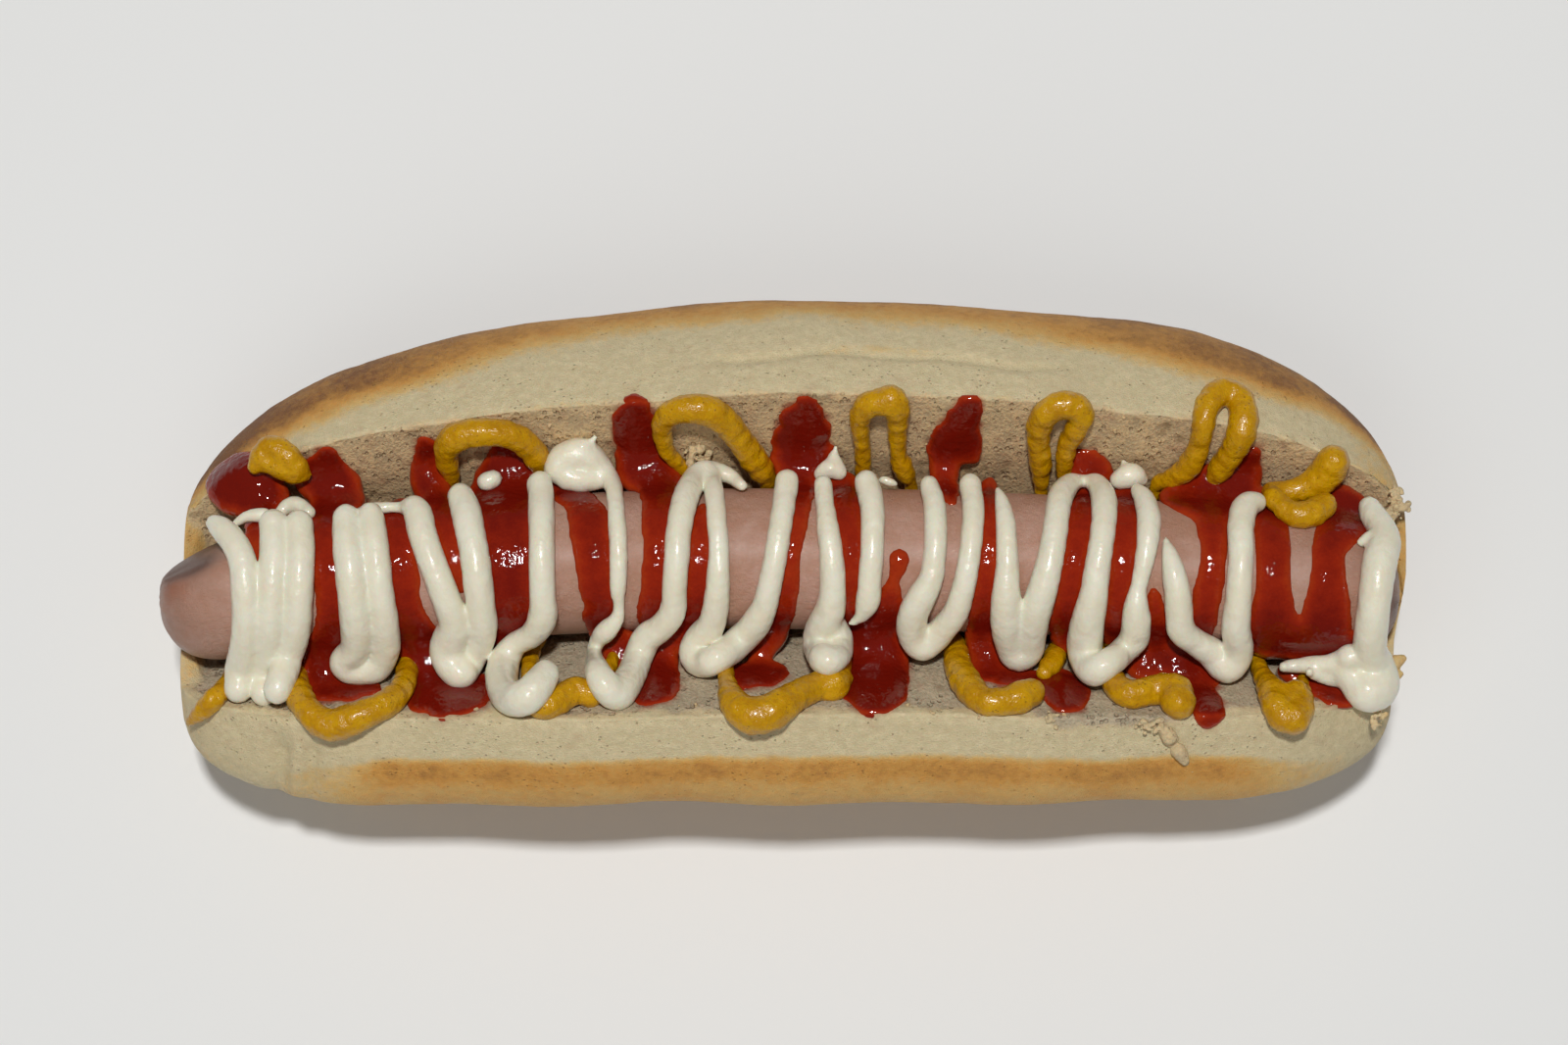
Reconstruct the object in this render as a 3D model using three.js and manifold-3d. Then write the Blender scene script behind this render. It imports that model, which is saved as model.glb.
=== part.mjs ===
// A loaded hot dog: a soft side-cut bun opened wide, a cooked sausage in it,
// a mustard zigzag squeezed under the sausage, ketchup over both, and a
// mayonnaise zigzag on top. It stands on the hinge side of the bun.
// Millimetres, +Z up, X along the sausage, the base half of the bun towards -Y.

import * as THREE from 'three';
import { mergeVertices } from 'three/addons/utils/BufferGeometryUtils.js';
import Module from 'manifold-3d';

const wasm = await Module();
wasm.setup();

// ---- Driving dimensions, in millimetres unless named otherwise ----

const BUN_LENGTH = 182.5;
const BUN_DEPTH = 48; // cut edge to hinge side, measured along the cut
const BASE_THICKNESS = 20; // cut face to the flat underside of the bun
const CROWN_THICKNESS = 29; // cut face to the top crust of the bun
const BASE_LEAN_DEG = 35.3; // how far each half is folded back from upright
const CROWN_LEAN_DEG = 31.3;
const RIM_RISE = 12.8; // cut edges above the sausage's axis, at mid length
const CROWN_SKEW = 0.12; // share of the half length that the crown's fullest place lies to the right
const BASE_SKEW = -0.06;
const AXIS_HEIGHT = 31.5; // sausage's axis above the table
const END_BLUNTNESS = 0.992; // share of the half length where the end crust starts

const SAUSAGE_RADIUS = 10.5;
const SAUSAGE_LEFT_TIP = -93.7;
const SAUSAGE_RIGHT_TIP = 89.2;
const SAUSAGE_TIP_LENGTH = 11;
const END_BOW = 5.5; // the whole thing bends, its ends this far towards -Y

const GAP = 0.3; // air left between neighbouring pieces
const FILM = 1.4; // room for mustard where the sausage presses on it
const GROOVE_RADIUS = SAUSAGE_RADIUS + FILM + 2 * GAP;

const MUSTARD = { halfWidth: 2.5, halfHeight: 1.8 };
const KETCHUP = { halfHeight: 0.75 };
const MAYONNAISE = { halfWidth: 2.2, halfHeight: 1.6 };

// The squeezed zigzags, as turns in plan: [x, y of the turn, half width of the loop].
// A positive y lies on the crown half, a negative y on the base half.
const MUSTARD_TURNS = [
  [-89.0, -25.0, 0], [-76.1, 13.5, 1.6], [-65.5, -25.2, 5.6], [-45.0, 17.2, 5.2],
  [-34.5, -22.2, 3.6], [-11.7, 20.2, 5.4], [-1.2, -24.4, 6.0], [12.6, 21.4, 2.6],
  [27.7, -22.2, 5.8], [39.4, 20.6, 2.7], [52.3, -23.0, 4.4], [60.9, 22.6, 4.8],
  [72.4, -25.2, 2.6], [77.5, 10.6, 3.4], [70.2, 8.6, 0],
];
const MAYONNAISE_LEFT_TURNS = [
  [-85.5, 4.4, 0], [-80.9, -20.0, 2.1], [-75.5, 6.6, 2.1], [-76.1, -19.2, 0],
];
const MAYONNAISE_MAIN_TURNS = [
  [-67.0, 6.2, 0], [-64.2, -17.6, 3.4], [-59.6, 7.4, 3.0], [-49.8, -16.4, 2.6],
  [-43.6, 11.4, 4.6], [-39.6, -20.6, 0],
];
const MAYONNAISE_MIDDLE_TURNS = [
  [-38.6, 9.0, 0], [-32.2, 12.4, 4.6], [-26.4, -21.0, 4.2], [-13.8, 11.6, 2.4],
  [-11.6, -16.0, 3.8], [1.6, 12.6, 2.6], [5.6, -15.2, 2.2], [15.6, 11.8, 4.4],
  [20.4, -13.6, 2.8], [28.6, 12.0, 2.3], [34.0, -15.4, 2.0], [42.2, 11.6, 2.6],
  [46.6, -17.0, 3.2], [50.0, 12.2, 0],
];
const MAYONNAISE_SPUR_TURNS = [[53.8, 3.2, 0], [61.2, -16.8, 4.0], [68.0, 8.8, 0]];
const MAYONNAISE_RIGHT_ROUTE = [
  [84.4, 7.6], [87.0, 2.0], [85.8, -4.0], [85.0, -11.0], [84.6, -16.0], [85.0, -19.6],
];
const MAYONNAISE_SMEAR_ROUTE = [[84.0, -17.0], [79.5, -16.4], [74.5, -15.0], [70.5, -15.4]];

// Ketchup bands over the sausage: [far x, middle x, near x, half width, far y, near y].
const KETCHUP_BANDS = [
  [-81.0, -80.2, -82.5, 2.2, 11.0, -13.0], [-69.5, -69.2, -70.0, 2.4, 12.0, -15.0],
  [-55.5, -58.3, -57.0, 2.4, 14.0, -17.0], [-53.5, -51.8, -52.5, 2.4, 15.5, -19.0],
  [-42.0, -42.2, -47.5, 3.6, 13.5, -18.0], [-31.0, -30.6, -27.0, 3.0, 12.0, -17.0],
  [-21.5, -19.0, -21.0, 3.0, 20.0, -17.0], [-14.0, -13.9, -11.0, 2.2, 13.0, -17.5],
  [1.2, 0.9, -1.5, 2.6, 19.5, -13.0], [8.0, 8.1, 10.5, 2.4, 11.0, -19.0],
  [23.5, 27.5, 27.0, 2.4, 18.5, -15.0], [42.5, 41.5, 40.0, 2.4, 14.0, -19.0],
  [48.5, 48.4, 53.0, 2.6, 11.0, -15.5], [64.0, 62.2, 60.6, 2.6, 15.5, -20.0],
  [69.0, 70.9, 71.5, 3.0, 9.5, -13.5], [78.0, 79.0, 78.5, 3.2, 8.5, -17.5],
];
// Ketchup that ran together on the crumb: [x, y, half length, half width].
const KETCHUP_POOLS = [
  [-80.0, 9.5, 5.6, 2.8], [-68.5, 10.5, 4.0, 3.0], [-43.0, 13.0, 6.0, 2.4],
  [-21.8, 17.0, 3.6, 4.2], [24.0, 16.0, 3.6, 4.0], [61.0, 9.0, 7.0, 2.2],
  [77.5, 5.0, 6.0, 3.2], [-53.0, -17.0, 5.0, 4.0], [-24.0, -17.5, 5.2, 3.8],
  [-8.0, -17.5, 5.4, 2.6], [11.0, -17.5, 4.6, 4.4], [36.0, -19.0, 6.6, 3.2],
  [55.0, -15.5, 5.6, 3.4], [77.0, -15.5, 7.5, 3.0],
];
const LAY_STEP = 0.8; // along a bead, where its place on the food is worked out
const BEND_STEP = 36; // degrees of bend taken up by one facet of a bead
const FILM_BEND_STEP = 25; // the same where mustard passes under the sausage
const CLEAR = 0.3; // more air, for the facets of a curved surface
const SMALLEST_BODY = 20; // cubic millimetres
const LONGEST_FACET = 9;
const SHORTEST_EDGE = 0.35;
const DRAWN_APART = 0.01; // where two stretches of a bead would share just a corner
const STEEPEST = 0.5; // cosine of the steepest slope that beads are stacked on
const BEAD_SIDES = 6;

const COLOURS = {
  crust: 0xc9a36a, sausage: 0xb57f70, mustard: 0xc08a1c, ketchup: 0x7a1208,
  mayonnaise: 0xe6e2cf,
};

// ---- The bent axis and the bun's two halves ----

const HALF_LENGTH = BUN_LENGTH / 2;
const HALF_DEPTH = BUN_DEPTH / 2;

const bowAt = (x) => -END_BOW * (x / Math.abs(SAUSAGE_LEFT_TIP)) ** 2;
const taper = (u, power, root = power) => (1 - Math.min(Math.abs(u), 0.9999) ** power) ** (1 / root);
const ripple = (x, phase) => 0.35 * Math.sin(x / 11 + phase) + 0.25 * Math.sin(x / 5.3 + 2 * phase);

/** One half of the bun, side +1 for the crown half and -1 for the base half. */
function bunHalf(side) {
  const crown = side > 0;
  const lean = THREE.MathUtils.degToRad(crown ? CROWN_LEAN_DEG : BASE_LEAN_DEG);
  const up = [side * Math.sin(lean), Math.cos(lean)];
  const into = [side * Math.cos(lean), -Math.sin(lean)];
  const reach = (GROOVE_RADIUS + RIM_RISE * Math.sin(lean)) / Math.cos(lean);
  const middle = [side * reach - up[0] * HALF_DEPTH, RIM_RISE - up[1] * HALF_DEPTH];
  return {
    side, lean, up, into, middle,
    thickness: crown ? CROWN_THICKNESS : BASE_THICKNESS,
    power: crown ? 2.8 : 4,
    skew: crown ? CROWN_SKEW : BASE_SKEW,
    endPower: 4,
    endRoot: crown ? 1.95 : 4,
    rimPower: 2.5,
    hingePower: 4,
    phase: crown ? 1.1 : 3.7,
  };
}
const HALVES = { near: bunHalf(-1), far: bunHalf(1) };

/** The station at which a half's taper is read, since its fullest place isn't at mid length. */
const ownStation = (half, u) => u - half.skew * (1 - u * u);

/** Distance from the middle of a half's cut face to its cut edge. */
const rimDepth = (half, u) => HALF_DEPTH * taper(ownStation(half, u), half.rimPower)
  + ripple(u * HALF_LENGTH, half.phase);

/** Where the cut edge of a half is at a station, relative to the axis. */
function rimPoint(half, u) {
  const depth = rimDepth(half, u);
  return [half.middle[0] + half.up[0] * depth, half.middle[1] + half.up[1] * depth];
}

/** A point on a half's outer skin: angle 0 at the cut edge, PI at the hinge side. */
function skinPoint(half, u, angle) {
  const onRimSide = angle < Math.PI / 2;
  const own = ownStation(half, u);
  const depth = onRimSide ? rimDepth(half, u) : HALF_DEPTH * taper(own, half.hingePower);
  const along = Math.sign(Math.cos(angle)) * Math.abs(Math.cos(angle)) ** (2 / half.power) * depth;
  const thickness = half.thickness * taper(own, half.endPower, half.endRoot)
    + ripple(u * HALF_LENGTH, 2 * half.phase);
  const out = Math.abs(Math.sin(angle)) ** (2 / half.power) * thickness;
  return [
    half.middle[0] + half.up[0] * along + half.into[0] * out,
    half.middle[1] + half.up[1] * along + half.into[1] * out,
  ];
}

/** The angle at which a half's skin is lowest, where it turns to the underside. */
function lowestAngle(half, u) {
  let best = Math.PI / 2;
  let lowest = Infinity;
  for (let step = 0; step <= 60; step += 1) {
    const angle = Math.PI * (0.5 + 0.5 * step / 60);
    const height = skinPoint(half, u, angle)[1];
    if (height < lowest) {
      lowest = height;
      best = angle;
    }
  }
  return best;
}

// ---- Meshes from rings, and booleans on them ----

/** A closed solid through rings of equal length; each end is a flat or pointed cap. */
function loft(rings, tips) {
  const points = rings.flat();
  const count = rings[0].length;
  const faces = [];
  for (let row = 0; row + 1 < rings.length; row += 1) {
    for (let col = 0; col < count; col += 1) {
      const a = row * count + col;
      const b = row * count + (col + 1) % count;
      faces.push([a, b, b + count], [a, b + count, a + count]);
    }
  }
  const last = (rings.length - 1) * count;
  if (tips) {
    points.push(tips[0], tips[1]);
    const first = rings.length * count;
    for (let col = 0; col < count; col += 1) {
      const next = (col + 1) % count;
      faces.push([first, next, col], [first + 1, last + col, last + next]);
    }
  } else {
    const caps = [[rings[0], 0, false], [rings[rings.length - 1], last, true]];
    for (const [ring, base, forward] of caps) {
      const flat = ring.map((p) => new THREE.Vector2(p[1], p[2]));
      const corners = THREE.ShapeUtils.triangulateShape(flat, []);
      const sum = corners.reduce(
        (area, tri) => area + THREE.ShapeUtils.area(tri.map((corner) => flat[corner])), 0);
      const sameTurn = Math.sign(sum) === Math.sign(THREE.ShapeUtils.area(flat));
      for (const tri of corners) {
        const face = sameTurn === forward ? tri : [...tri].reverse();
        faces.push(face.map((corner) => corner + base));
      }
    }
  }
  return outward(points, faces);
}

/** The points and faces as a manifold, with the faces turned to point out. */
function outward(points, faces) {
  let volume = 0;
  for (const [a, b, c] of faces) {
    const [p, q, r] = [points[a], points[b], points[c]];
    volume += p[0] * (q[1] * r[2] - q[2] * r[1]) + p[1] * (q[2] * r[0] - q[0] * r[2])
      + p[2] * (q[0] * r[1] - q[1] * r[0]);
  }
  const order = volume > 0 ? faces : faces.map(([a, b, c]) => [a, c, b]);
  return new wasm.Manifold(new wasm.Mesh({
    numProp: 3,
    vertProperties: new Float32Array(points.flat()),
    triVerts: new Uint32Array(order.flat()),
  }));
}

/** The connected bodies of a solid from left to right, without specks left by a cut. */
function bodiesOf(solid) {
  return solid.decompose()
    .filter((body) => body.volume() > SMALLEST_BODY)
    .sort((a, b) => a.boundingBox().min[0] - b.boundingBox().min[0]);
}

/**
 * The corners of a solid's triangles, once the short edges that a cut leaves are closed up and
 * stretches that only touch are drawn apart.
 */
function withoutSlivers(corners, triangles) {
  const points = [];
  for (let i = 0; i < corners.length; i += 3) {
    points.push(new THREE.Vector3(corners[i], corners[i + 1], corners[i + 2]));
  }
  const facesAt = points.map(() => new Set());
  const faces = [];
  for (let i = 0; i < triangles.length; i += 3) {
    const face = [triangles[i], triangles[i + 1], triangles[i + 2]];
    face.forEach((corner) => facesAt[corner].add(face));
    faces.push(face);
  }
  const around = (corner) => new Set([...facesAt[corner]].flat().filter((other) => other !== corner));
  const facing = (face, spot, moved) => {
    const [a, b, c] = face.map((corner) => (corner === spot ? moved : points[corner]));
    return b.clone().sub(a).cross(c.clone().sub(a));
  };
  const keepsFacing = (from, to) => [...facesAt[from]].filter((face) => !face.includes(to))
    .every((face) => {
      const before = facing(face, from, points[from]);
      const after = facing(face, from, points[to]);
      const flat = before.length() < 0.02;
      return after.length() > 1e-4 && (flat || before.normalize().dot(after.normalize()) > 0.8);
    });
  const collapse = (from, to) => {
    for (const face of [...facesAt[from]]) {
      if (face.includes(to)) {
        face.forEach((corner) => facesAt[corner].delete(face));
        face.gone = true;
      } else {
        face[face.indexOf(from)] = to;
        facesAt[to].add(face);
      }
    }
    facesAt[from].clear();
  };
  for (let changed = true; changed;) {
    changed = false;
    for (const face of faces) {
      for (let k = 0; k < 3 && !face.gone; k += 1) {
        const [from, to] = [face[k], face[(k + 1) % 3]];
        if (points[from].distanceTo(points[to]) < SHORTEST_EDGE) {
          const shared = [...around(from)].filter((corner) => around(to).has(corner));
          const [drop, keep] = keepsFacing(from, to) ? [from, to] : [to, from];
          if (shared.length === 2 && keepsFacing(drop, keep)) {
            collapse(drop, keep);
            changed = true;
          }
        }
      }
    }
  }
  const cornersAt = new Map();
  points.forEach((point, corner) => {
    if (facesAt[corner].size > 0) {
      const key = point.toArray().map((value) => Math.round(value * 1000)).join();
      cornersAt.set(key, [...(cornersAt.get(key) ?? []), corner]);
    }
  });
  for (const touching of [...cornersAt.values()].filter((group) => group.length > 1)) {
    for (const corner of touching) {
      const outward = new THREE.Vector3();
      facesAt[corner].forEach((face) => outward.add(facing(face, corner, points[corner])));
      points[corner].addScaledVector(outward.normalize(), -DRAWN_APART);
    }
  }
  return faces.filter((face) => !face.gone).flat().map((corner) => points[corner]);
}

function toMesh(solid, name, colour, roughness) {
  const data = solid.getMesh();
  const corners = withoutSlivers(data.vertProperties, data.triVerts);
  const geometry = mergeVertices(new THREE.BufferGeometry().setFromPoints(corners));
  geometry.computeVertexNormals();
  const material = new THREE.MeshStandardMaterial({ color: colour, roughness, metalness: 0 });
  const mesh = new THREE.Mesh(geometry, material);
  mesh.name = name;
  return mesh;
}

// ---- The bun and the sausage ----

/** The bun's outline at a station, moved outwards by grow. */
function bunSection(u, grow) {
  const outline = [];
  const crumbSteps = 3;
  const grooveSteps = 9;
  const skinSteps = 11;
  const { near, far } = HALVES;
  const touch = (half) => [half.into[0] * GROOVE_RADIUS, half.into[1] * GROOVE_RADIUS];
  const crumb = (half, share) => {
    const rim = rimPoint(half, u);
    const foot = touch(half);
    return [0, 1].map((i) => foot[i] + (rim[i] - foot[i]) * share);
  };
  for (let i = 0; i < crumbSteps; i += 1) {
    outline.push(crumb(near, 1 - i / crumbSteps));
  }
  const from = Math.atan2(near.into[1], near.into[0]);
  const to = Math.atan2(far.into[1], far.into[0]);
  for (let i = 0; i <= grooveSteps; i += 1) {
    const angle = from + (to - from) * i / grooveSteps;
    outline.push([GROOVE_RADIUS * Math.cos(angle), GROOVE_RADIUS * Math.sin(angle)]);
  }
  for (let i = 1; i <= crumbSteps; i += 1) {
    outline.push(crumb(far, i / crumbSteps));
  }
  const farEnd = lowestAngle(far, u);
  for (let i = 1; i <= skinSteps; i += 1) {
    outline.push(skinPoint(far, u, farEnd * i / skinSteps));
  }
  const nearEnd = lowestAngle(near, u);
  for (let i = skinSteps; i >= 1; i -= 1) {
    outline.push(skinPoint(near, u, nearEnd * i / skinSteps));
  }
  const grown = outline.map((point, i) => {
    const before = outline[(i + outline.length - 1) % outline.length];
    const after = outline[(i + 1) % outline.length];
    const run = [after[0] - before[0], after[1] - before[1]];
    const size = Math.hypot(run[0], run[1]);
    return [point[0] + grow * run[1] / size, point[1] - grow * run[0] / size];
  });
  return grown.map(([y, z]) => [y, Math.max(z, -AXIS_HEIGHT - grow)]);
}

/** The whole bun, both halves and the hinge between them. */
function bunSolid(grow = 0) {
  const stations = 28;
  const rings = [];
  for (let i = 0; i <= stations; i += 1) {
    const share = END_BLUNTNESS * Math.sin(Math.PI / 2 * (2 * i / stations - 1));
    const x = share * (HALF_LENGTH + grow);
    rings.push(bunSection(share, -grow).map(([y, z]) => [x, y + bowAt(x), z + AXIS_HEIGHT]));
  }
  return loft(rings, null);
}

/** The sausage's radius a given way from its nearer tip. */
function sausageRadius(fromTip) {
  const share = Math.min(Math.max(fromTip / SAUSAGE_TIP_LENGTH, 0), 1);
  return SAUSAGE_RADIUS * (1 - (1 - share) ** 2.6) ** (1 / 2.2);
}

function sausageSolid(grow = 0) {
  const sides = 20;
  const rings = [];
  const tipSteps = [0.03, 0.12, 0.3, 0.6];
  const left = SAUSAGE_LEFT_TIP - grow;
  const right = SAUSAGE_RIGHT_TIP + grow;
  const tipLength = SAUSAGE_TIP_LENGTH;
  const stations = tipSteps.map((s) => left + s * tipLength);
  const bodySteps = 14;
  for (let i = 0; i <= bodySteps; i += 1) {
    stations.push(left + tipLength + (right - left - 2 * tipLength) * i / bodySteps);
  }
  stations.push(...tipSteps.map((s) => right - s * tipLength).reverse());
  for (const x of stations) {
    const radius = sausageRadius(Math.min(x - left, right - x)) + grow;
    const ring = [];
    for (let j = 0; j < sides; j += 1) {
      const angle = 2 * Math.PI * j / sides;
      ring.push([x, bowAt(x) + radius * Math.cos(angle), AXIS_HEIGHT + radius * Math.sin(angle)]);
    }
    rings.push(ring);
  }
  return loft(rings, [[left, bowAt(left), AXIS_HEIGHT], [right, bowAt(right), AXIS_HEIGHT]]);
}

// ---- What the sauces lie on ----

/** The skin and crumb of one half beyond a distance along the cut face. */
function crumbProfile(half, x, startShare, foot) {
  const u = x / HALF_LENGTH;
  const rim = rimPoint(half, u);
  const points = [];
  const away = [-half.into[0], -half.into[1]];
  for (let i = 0; i <= 8; i += 1) {
    const share = startShare + (1 - startShare) * i / 8;
    points.push({ at: [0, 1].map((k) => foot[k] + (rim[k] - foot[k]) * share), normal: away });
  }
  for (let i = 1; i <= 3; i += 1) {
    const turn = Math.PI / 2 * i / 3;
    const normal = [0, 1].map((k) => away[k] * Math.cos(turn) + half.up[k] * Math.sin(turn));
    points.push({ at: rim, normal });
  }
  for (let i = 1; i <= 5; i += 1) {
    const at = skinPoint(half, u, 0.1 * i ** 1.6);
    points.push({ at, normal: half.up });
  }
  return points;
}

/** Crumb, groove, crumb: the surface that the mustard lies on, from near to far. */
function breadProfile(x) {
  const foot = (half) => [half.into[0] * GROOVE_RADIUS, half.into[1] * GROOVE_RADIUS];
  const { near, far } = HALVES;
  const points = crumbProfile(near, x, 0, foot(near)).reverse();
  const from = Math.atan2(near.into[1], near.into[0]);
  const to = Math.atan2(far.into[1], far.into[0]);
  for (let i = 1; i < 12; i += 1) {
    const angle = from + (to - from) * i / 12;
    const outwards = [Math.cos(angle), Math.sin(angle)];
    const at = [outwards[0] * GROOVE_RADIUS, outwards[1] * GROOVE_RADIUS];
    points.push({ at, normal: [-outwards[0], -outwards[1]] });
  }
  points.push(...crumbProfile(far, x, 0, foot(far)));
  return points;
}

/** Crumb, sausage, crumb: the surface that ketchup and mayonnaise lie on. */
function toppedProfile(x, height) {
  const fillet = 2.4;
  const radius = Math.max(sausageRadius(Math.min(x - SAUSAGE_LEFT_TIP, SAUSAGE_RIGHT_TIP - x)),
    SAUSAGE_RADIUS / 2);
  const sideOf = (half) => {
    const opening = Math.acos((GROOVE_RADIUS - height - fillet) / (radius + height + fillet));
    const direction = -half.lean + opening;
    const points = [];
    const dir = (angle) => [half.side * Math.cos(angle), Math.sin(angle)];
    for (let i = 0; i <= 8; i += 1) {
      const angle = Math.PI / 2 + (direction - Math.PI / 2) * i / 8;
      const normal = dir(angle);
      points.push({ at: normal.map((v) => v * radius), normal });
    }
    const distance = radius + height + fillet;
    const centre = dir(direction).map((v) => v * distance);
    const start = direction + Math.PI;
    const end = -half.lean + 2 * Math.PI;
    for (let i = 1; i <= 5; i += 1) {
      const away = dir(start + (end - start) * i / 5);
      const normal = [-away[0], -away[1]];
      points.push({ at: [0, 1].map((k) => centre[k] + away[k] * (fillet + height)), normal });
    }
    const footShare = points[points.length - 1].at;
    const landed = crumbProfile(half, x, 0, footShare);
    return points.concat(landed.slice(1));
  };
  return sideOf(HALVES.near).reverse().concat(sideOf(HALVES.far).slice(1));
}

/** Where a bead's centre lies on a surface at a distance y across the axis. */
function across(profile, heightAt, y) {
  const centreOf = (spot) => {
    const lift = GAP + CLEAR + heightAt(spot);
    return [spot.at[0] + spot.normal[0] * lift, spot.at[1] + spot.normal[1] * lift];
  };
  let index = 0;
  while (index < profile.length - 2 && centreOf(profile[index + 1])[0] < y) {
    index += 1;
  }
  const [a, b] = [profile[index], profile[index + 1]];
  const [from, to] = [centreOf(a), centreOf(b)];
  const run = to[0] - from[0];
  const share = run > 1e-6 ? Math.min(Math.max((y - from[0]) / run, 0), 1) : 0;
  const mix = (p, q) => [0, 1].map((k) => p[k] + (q[k] - p[k]) * share);
  return {
    centre: mix(from, to),
    normal: mix(a.normal, b.normal),
    halfHeight: heightAt({ at: mix(a.at, b.at) }),
  };
}

// ---- Squeezed beads ----

/** Turns of a zigzag as plan points: round loops joined by straight runs. */
function zigzag(turns) {
  const route = [];
  turns.forEach(([x, y, half], index) => {
    if (half === 0) {
      route.push([x, y]);
      return;
    }
    const before = turns[index - 1];
    const heading = Math.sign((turns[index + 1] ?? turns[index])[0] - before[0]) || 1;
    const depth = Math.sign(y) * Math.min(half, 3.5);
    for (const [along, down] of [[-1, 1.3], [-0.75, 0.35], [0, 0], [0.75, 0.35], [1, 1.3]]) {
      route.push([x + heading * along * half, y - down * depth]);
    }
  });
  return route;
}

/** Points along a plan route, laid on a surface half a bead's height above it. */
function layRoute(route, surface, heightAt) {
  const plan = new THREE.CatmullRomCurve3(route.map(([x, y]) => new THREE.Vector3(x, y, 0)),
    false, 'centripetal');
  const samples = Math.ceil(plan.getLength() / LAY_STEP);
  const path = [];
  for (let i = 0; i <= samples; i += 1) {
    const { x, y } = plan.getPoint(i / samples);
    const { centre, normal, halfHeight } = across(surface(x), heightAt, y - bowAt(x));
    path.push({
      centre: new THREE.Vector3(x, centre[0] + bowAt(x), centre[1] + AXIS_HEIGHT),
      normal: new THREE.Vector3(0, normal[0], normal[1]).normalize(),
      halfHeight,
      share: i / samples,
    });
  }
  return path;
}

/** How high the centre of a bead has to be to clear one that lies below it. */
function clearLevel({ centre, normal, halfHeight }, halfWidth, other) {
  const aside = Math.hypot(other.centre.x - centre.x, other.centre.y - centre.y);
  const reach = other.halfWidth + halfWidth + GAP;
  if (aside > reach) {
    return -Infinity;
  }
  const stack = (other.halfHeight + halfHeight + GAP + CLEAR) / Math.max(normal.z, STEEPEST);
  return other.centre.z + stack * Math.sqrt(1 - (aside / reach) ** 2);
}

/** Raises a path where it crosses beads that were squeezed out before it. */
function climbOver(path, halfWidth, lower) {
  const need = path.map((spot) => lower.reduce(
    (level, other) => Math.max(level, clearLevel(spot, halfWidth, other) - spot.centre.z), 0));
  let rises = need;
  for (let pass = 0; pass < 8; pass += 1) {
    rises = rises.map((rise, i) => {
      const before = rises[Math.max(i - 1, 0)];
      const after = rises[Math.min(i + 1, rises.length - 1)];
      return Math.max(need[i], (before + 2 * rise + after) / 4);
    });
  }
  path.forEach((spot, i) => {
    spot.centre.z += rises[i];
  });
  return path;
}

/** Keeps the points of a path that its bends need. */
function thin(path) {
  const kept = [path[0]];
  let travelled = 0;
  let turned = 0;
  for (let i = 1; i + 1 < path.length; i += 1) {
    const arriving = path[i].centre.clone().sub(path[i - 1].centre);
    const leaving = path[i + 1].centre.clone().sub(path[i].centre);
    travelled += arriving.length();
    turned += arriving.angleTo(leaving);
    const bend = path[i].halfHeight < FILM ? FILM_BEND_STEP : BEND_STEP;
    if (travelled > LONGEST_FACET || (turned > THREE.MathUtils.degToRad(bend) && travelled > 1.4)) {
      kept.push(path[i]);
      travelled = 0;
      turned = 0;
    }
  }
  kept.push(path[path.length - 1]);
  return kept;
}

/** A bead along laid points, half width and half height given for each. */
function bead(path, widthAt, grow = 0) {
  const rings = [];
  const tips = [];
  const last = path.length - 1;
  path.forEach(({ centre, normal, halfHeight, share }, i) => {
    const tangent = path[Math.min(i + 1, last)].centre.clone()
      .sub(path[Math.max(i - 1, 0)].centre).normalize();
    const sideways = new THREE.Vector3().crossVectors(tangent, normal).normalize();
    const upright = new THREE.Vector3().crossVectors(sideways, tangent).normalize();
    const end = i === 0 || i === last;
    const width = widthAt(share) * (end ? 0.6 : 1) + grow;
    const height = halfHeight * (end ? 0.6 : 1) + grow;
    const ring = [];
    for (let j = 0; j < BEAD_SIDES; j += 1) {
      const angle = 2 * Math.PI * j / BEAD_SIDES;
      ring.push(centre.clone().addScaledVector(sideways, width * Math.cos(angle))
        .addScaledVector(upright, height * Math.sin(angle)).toArray());
    }
    rings.push(ring);
    if (end) {
      const reach = (0.45 * widthAt(share) + grow) * (i === 0 ? -1 : 1);
      tips.push(centre.clone().addScaledVector(tangent, reach).toArray());
    }
  });
  return loft(rings, tips);
}

/** Cuts a path where it turns back, so that no single bead crosses itself. */
function strokes(path) {
  const turns = [0];
  for (let i = 2; i + 2 < path.length; i += 1) {
    const before = path[i].centre.y - path[i - 1].centre.y;
    const after = path[i + 1].centre.y - path[i].centre.y;
    if (before * after < 0 && i - turns[turns.length - 1] > 3) {
      turns.push(i);
    }
  }
  turns.push(path.length - 1);
  return turns.slice(1).map((end, k) => path.slice(Math.max(turns[k] - 1, 0), end + 2));
}

const joined = (solids) => solids.reduce((sum, solid) => sum.add(solid));
const samplesOf = (path, widthAt) => path.map(({ centre, halfHeight, share }) => (
  { centre, halfHeight, halfWidth: widthAt(share) }));

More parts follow.
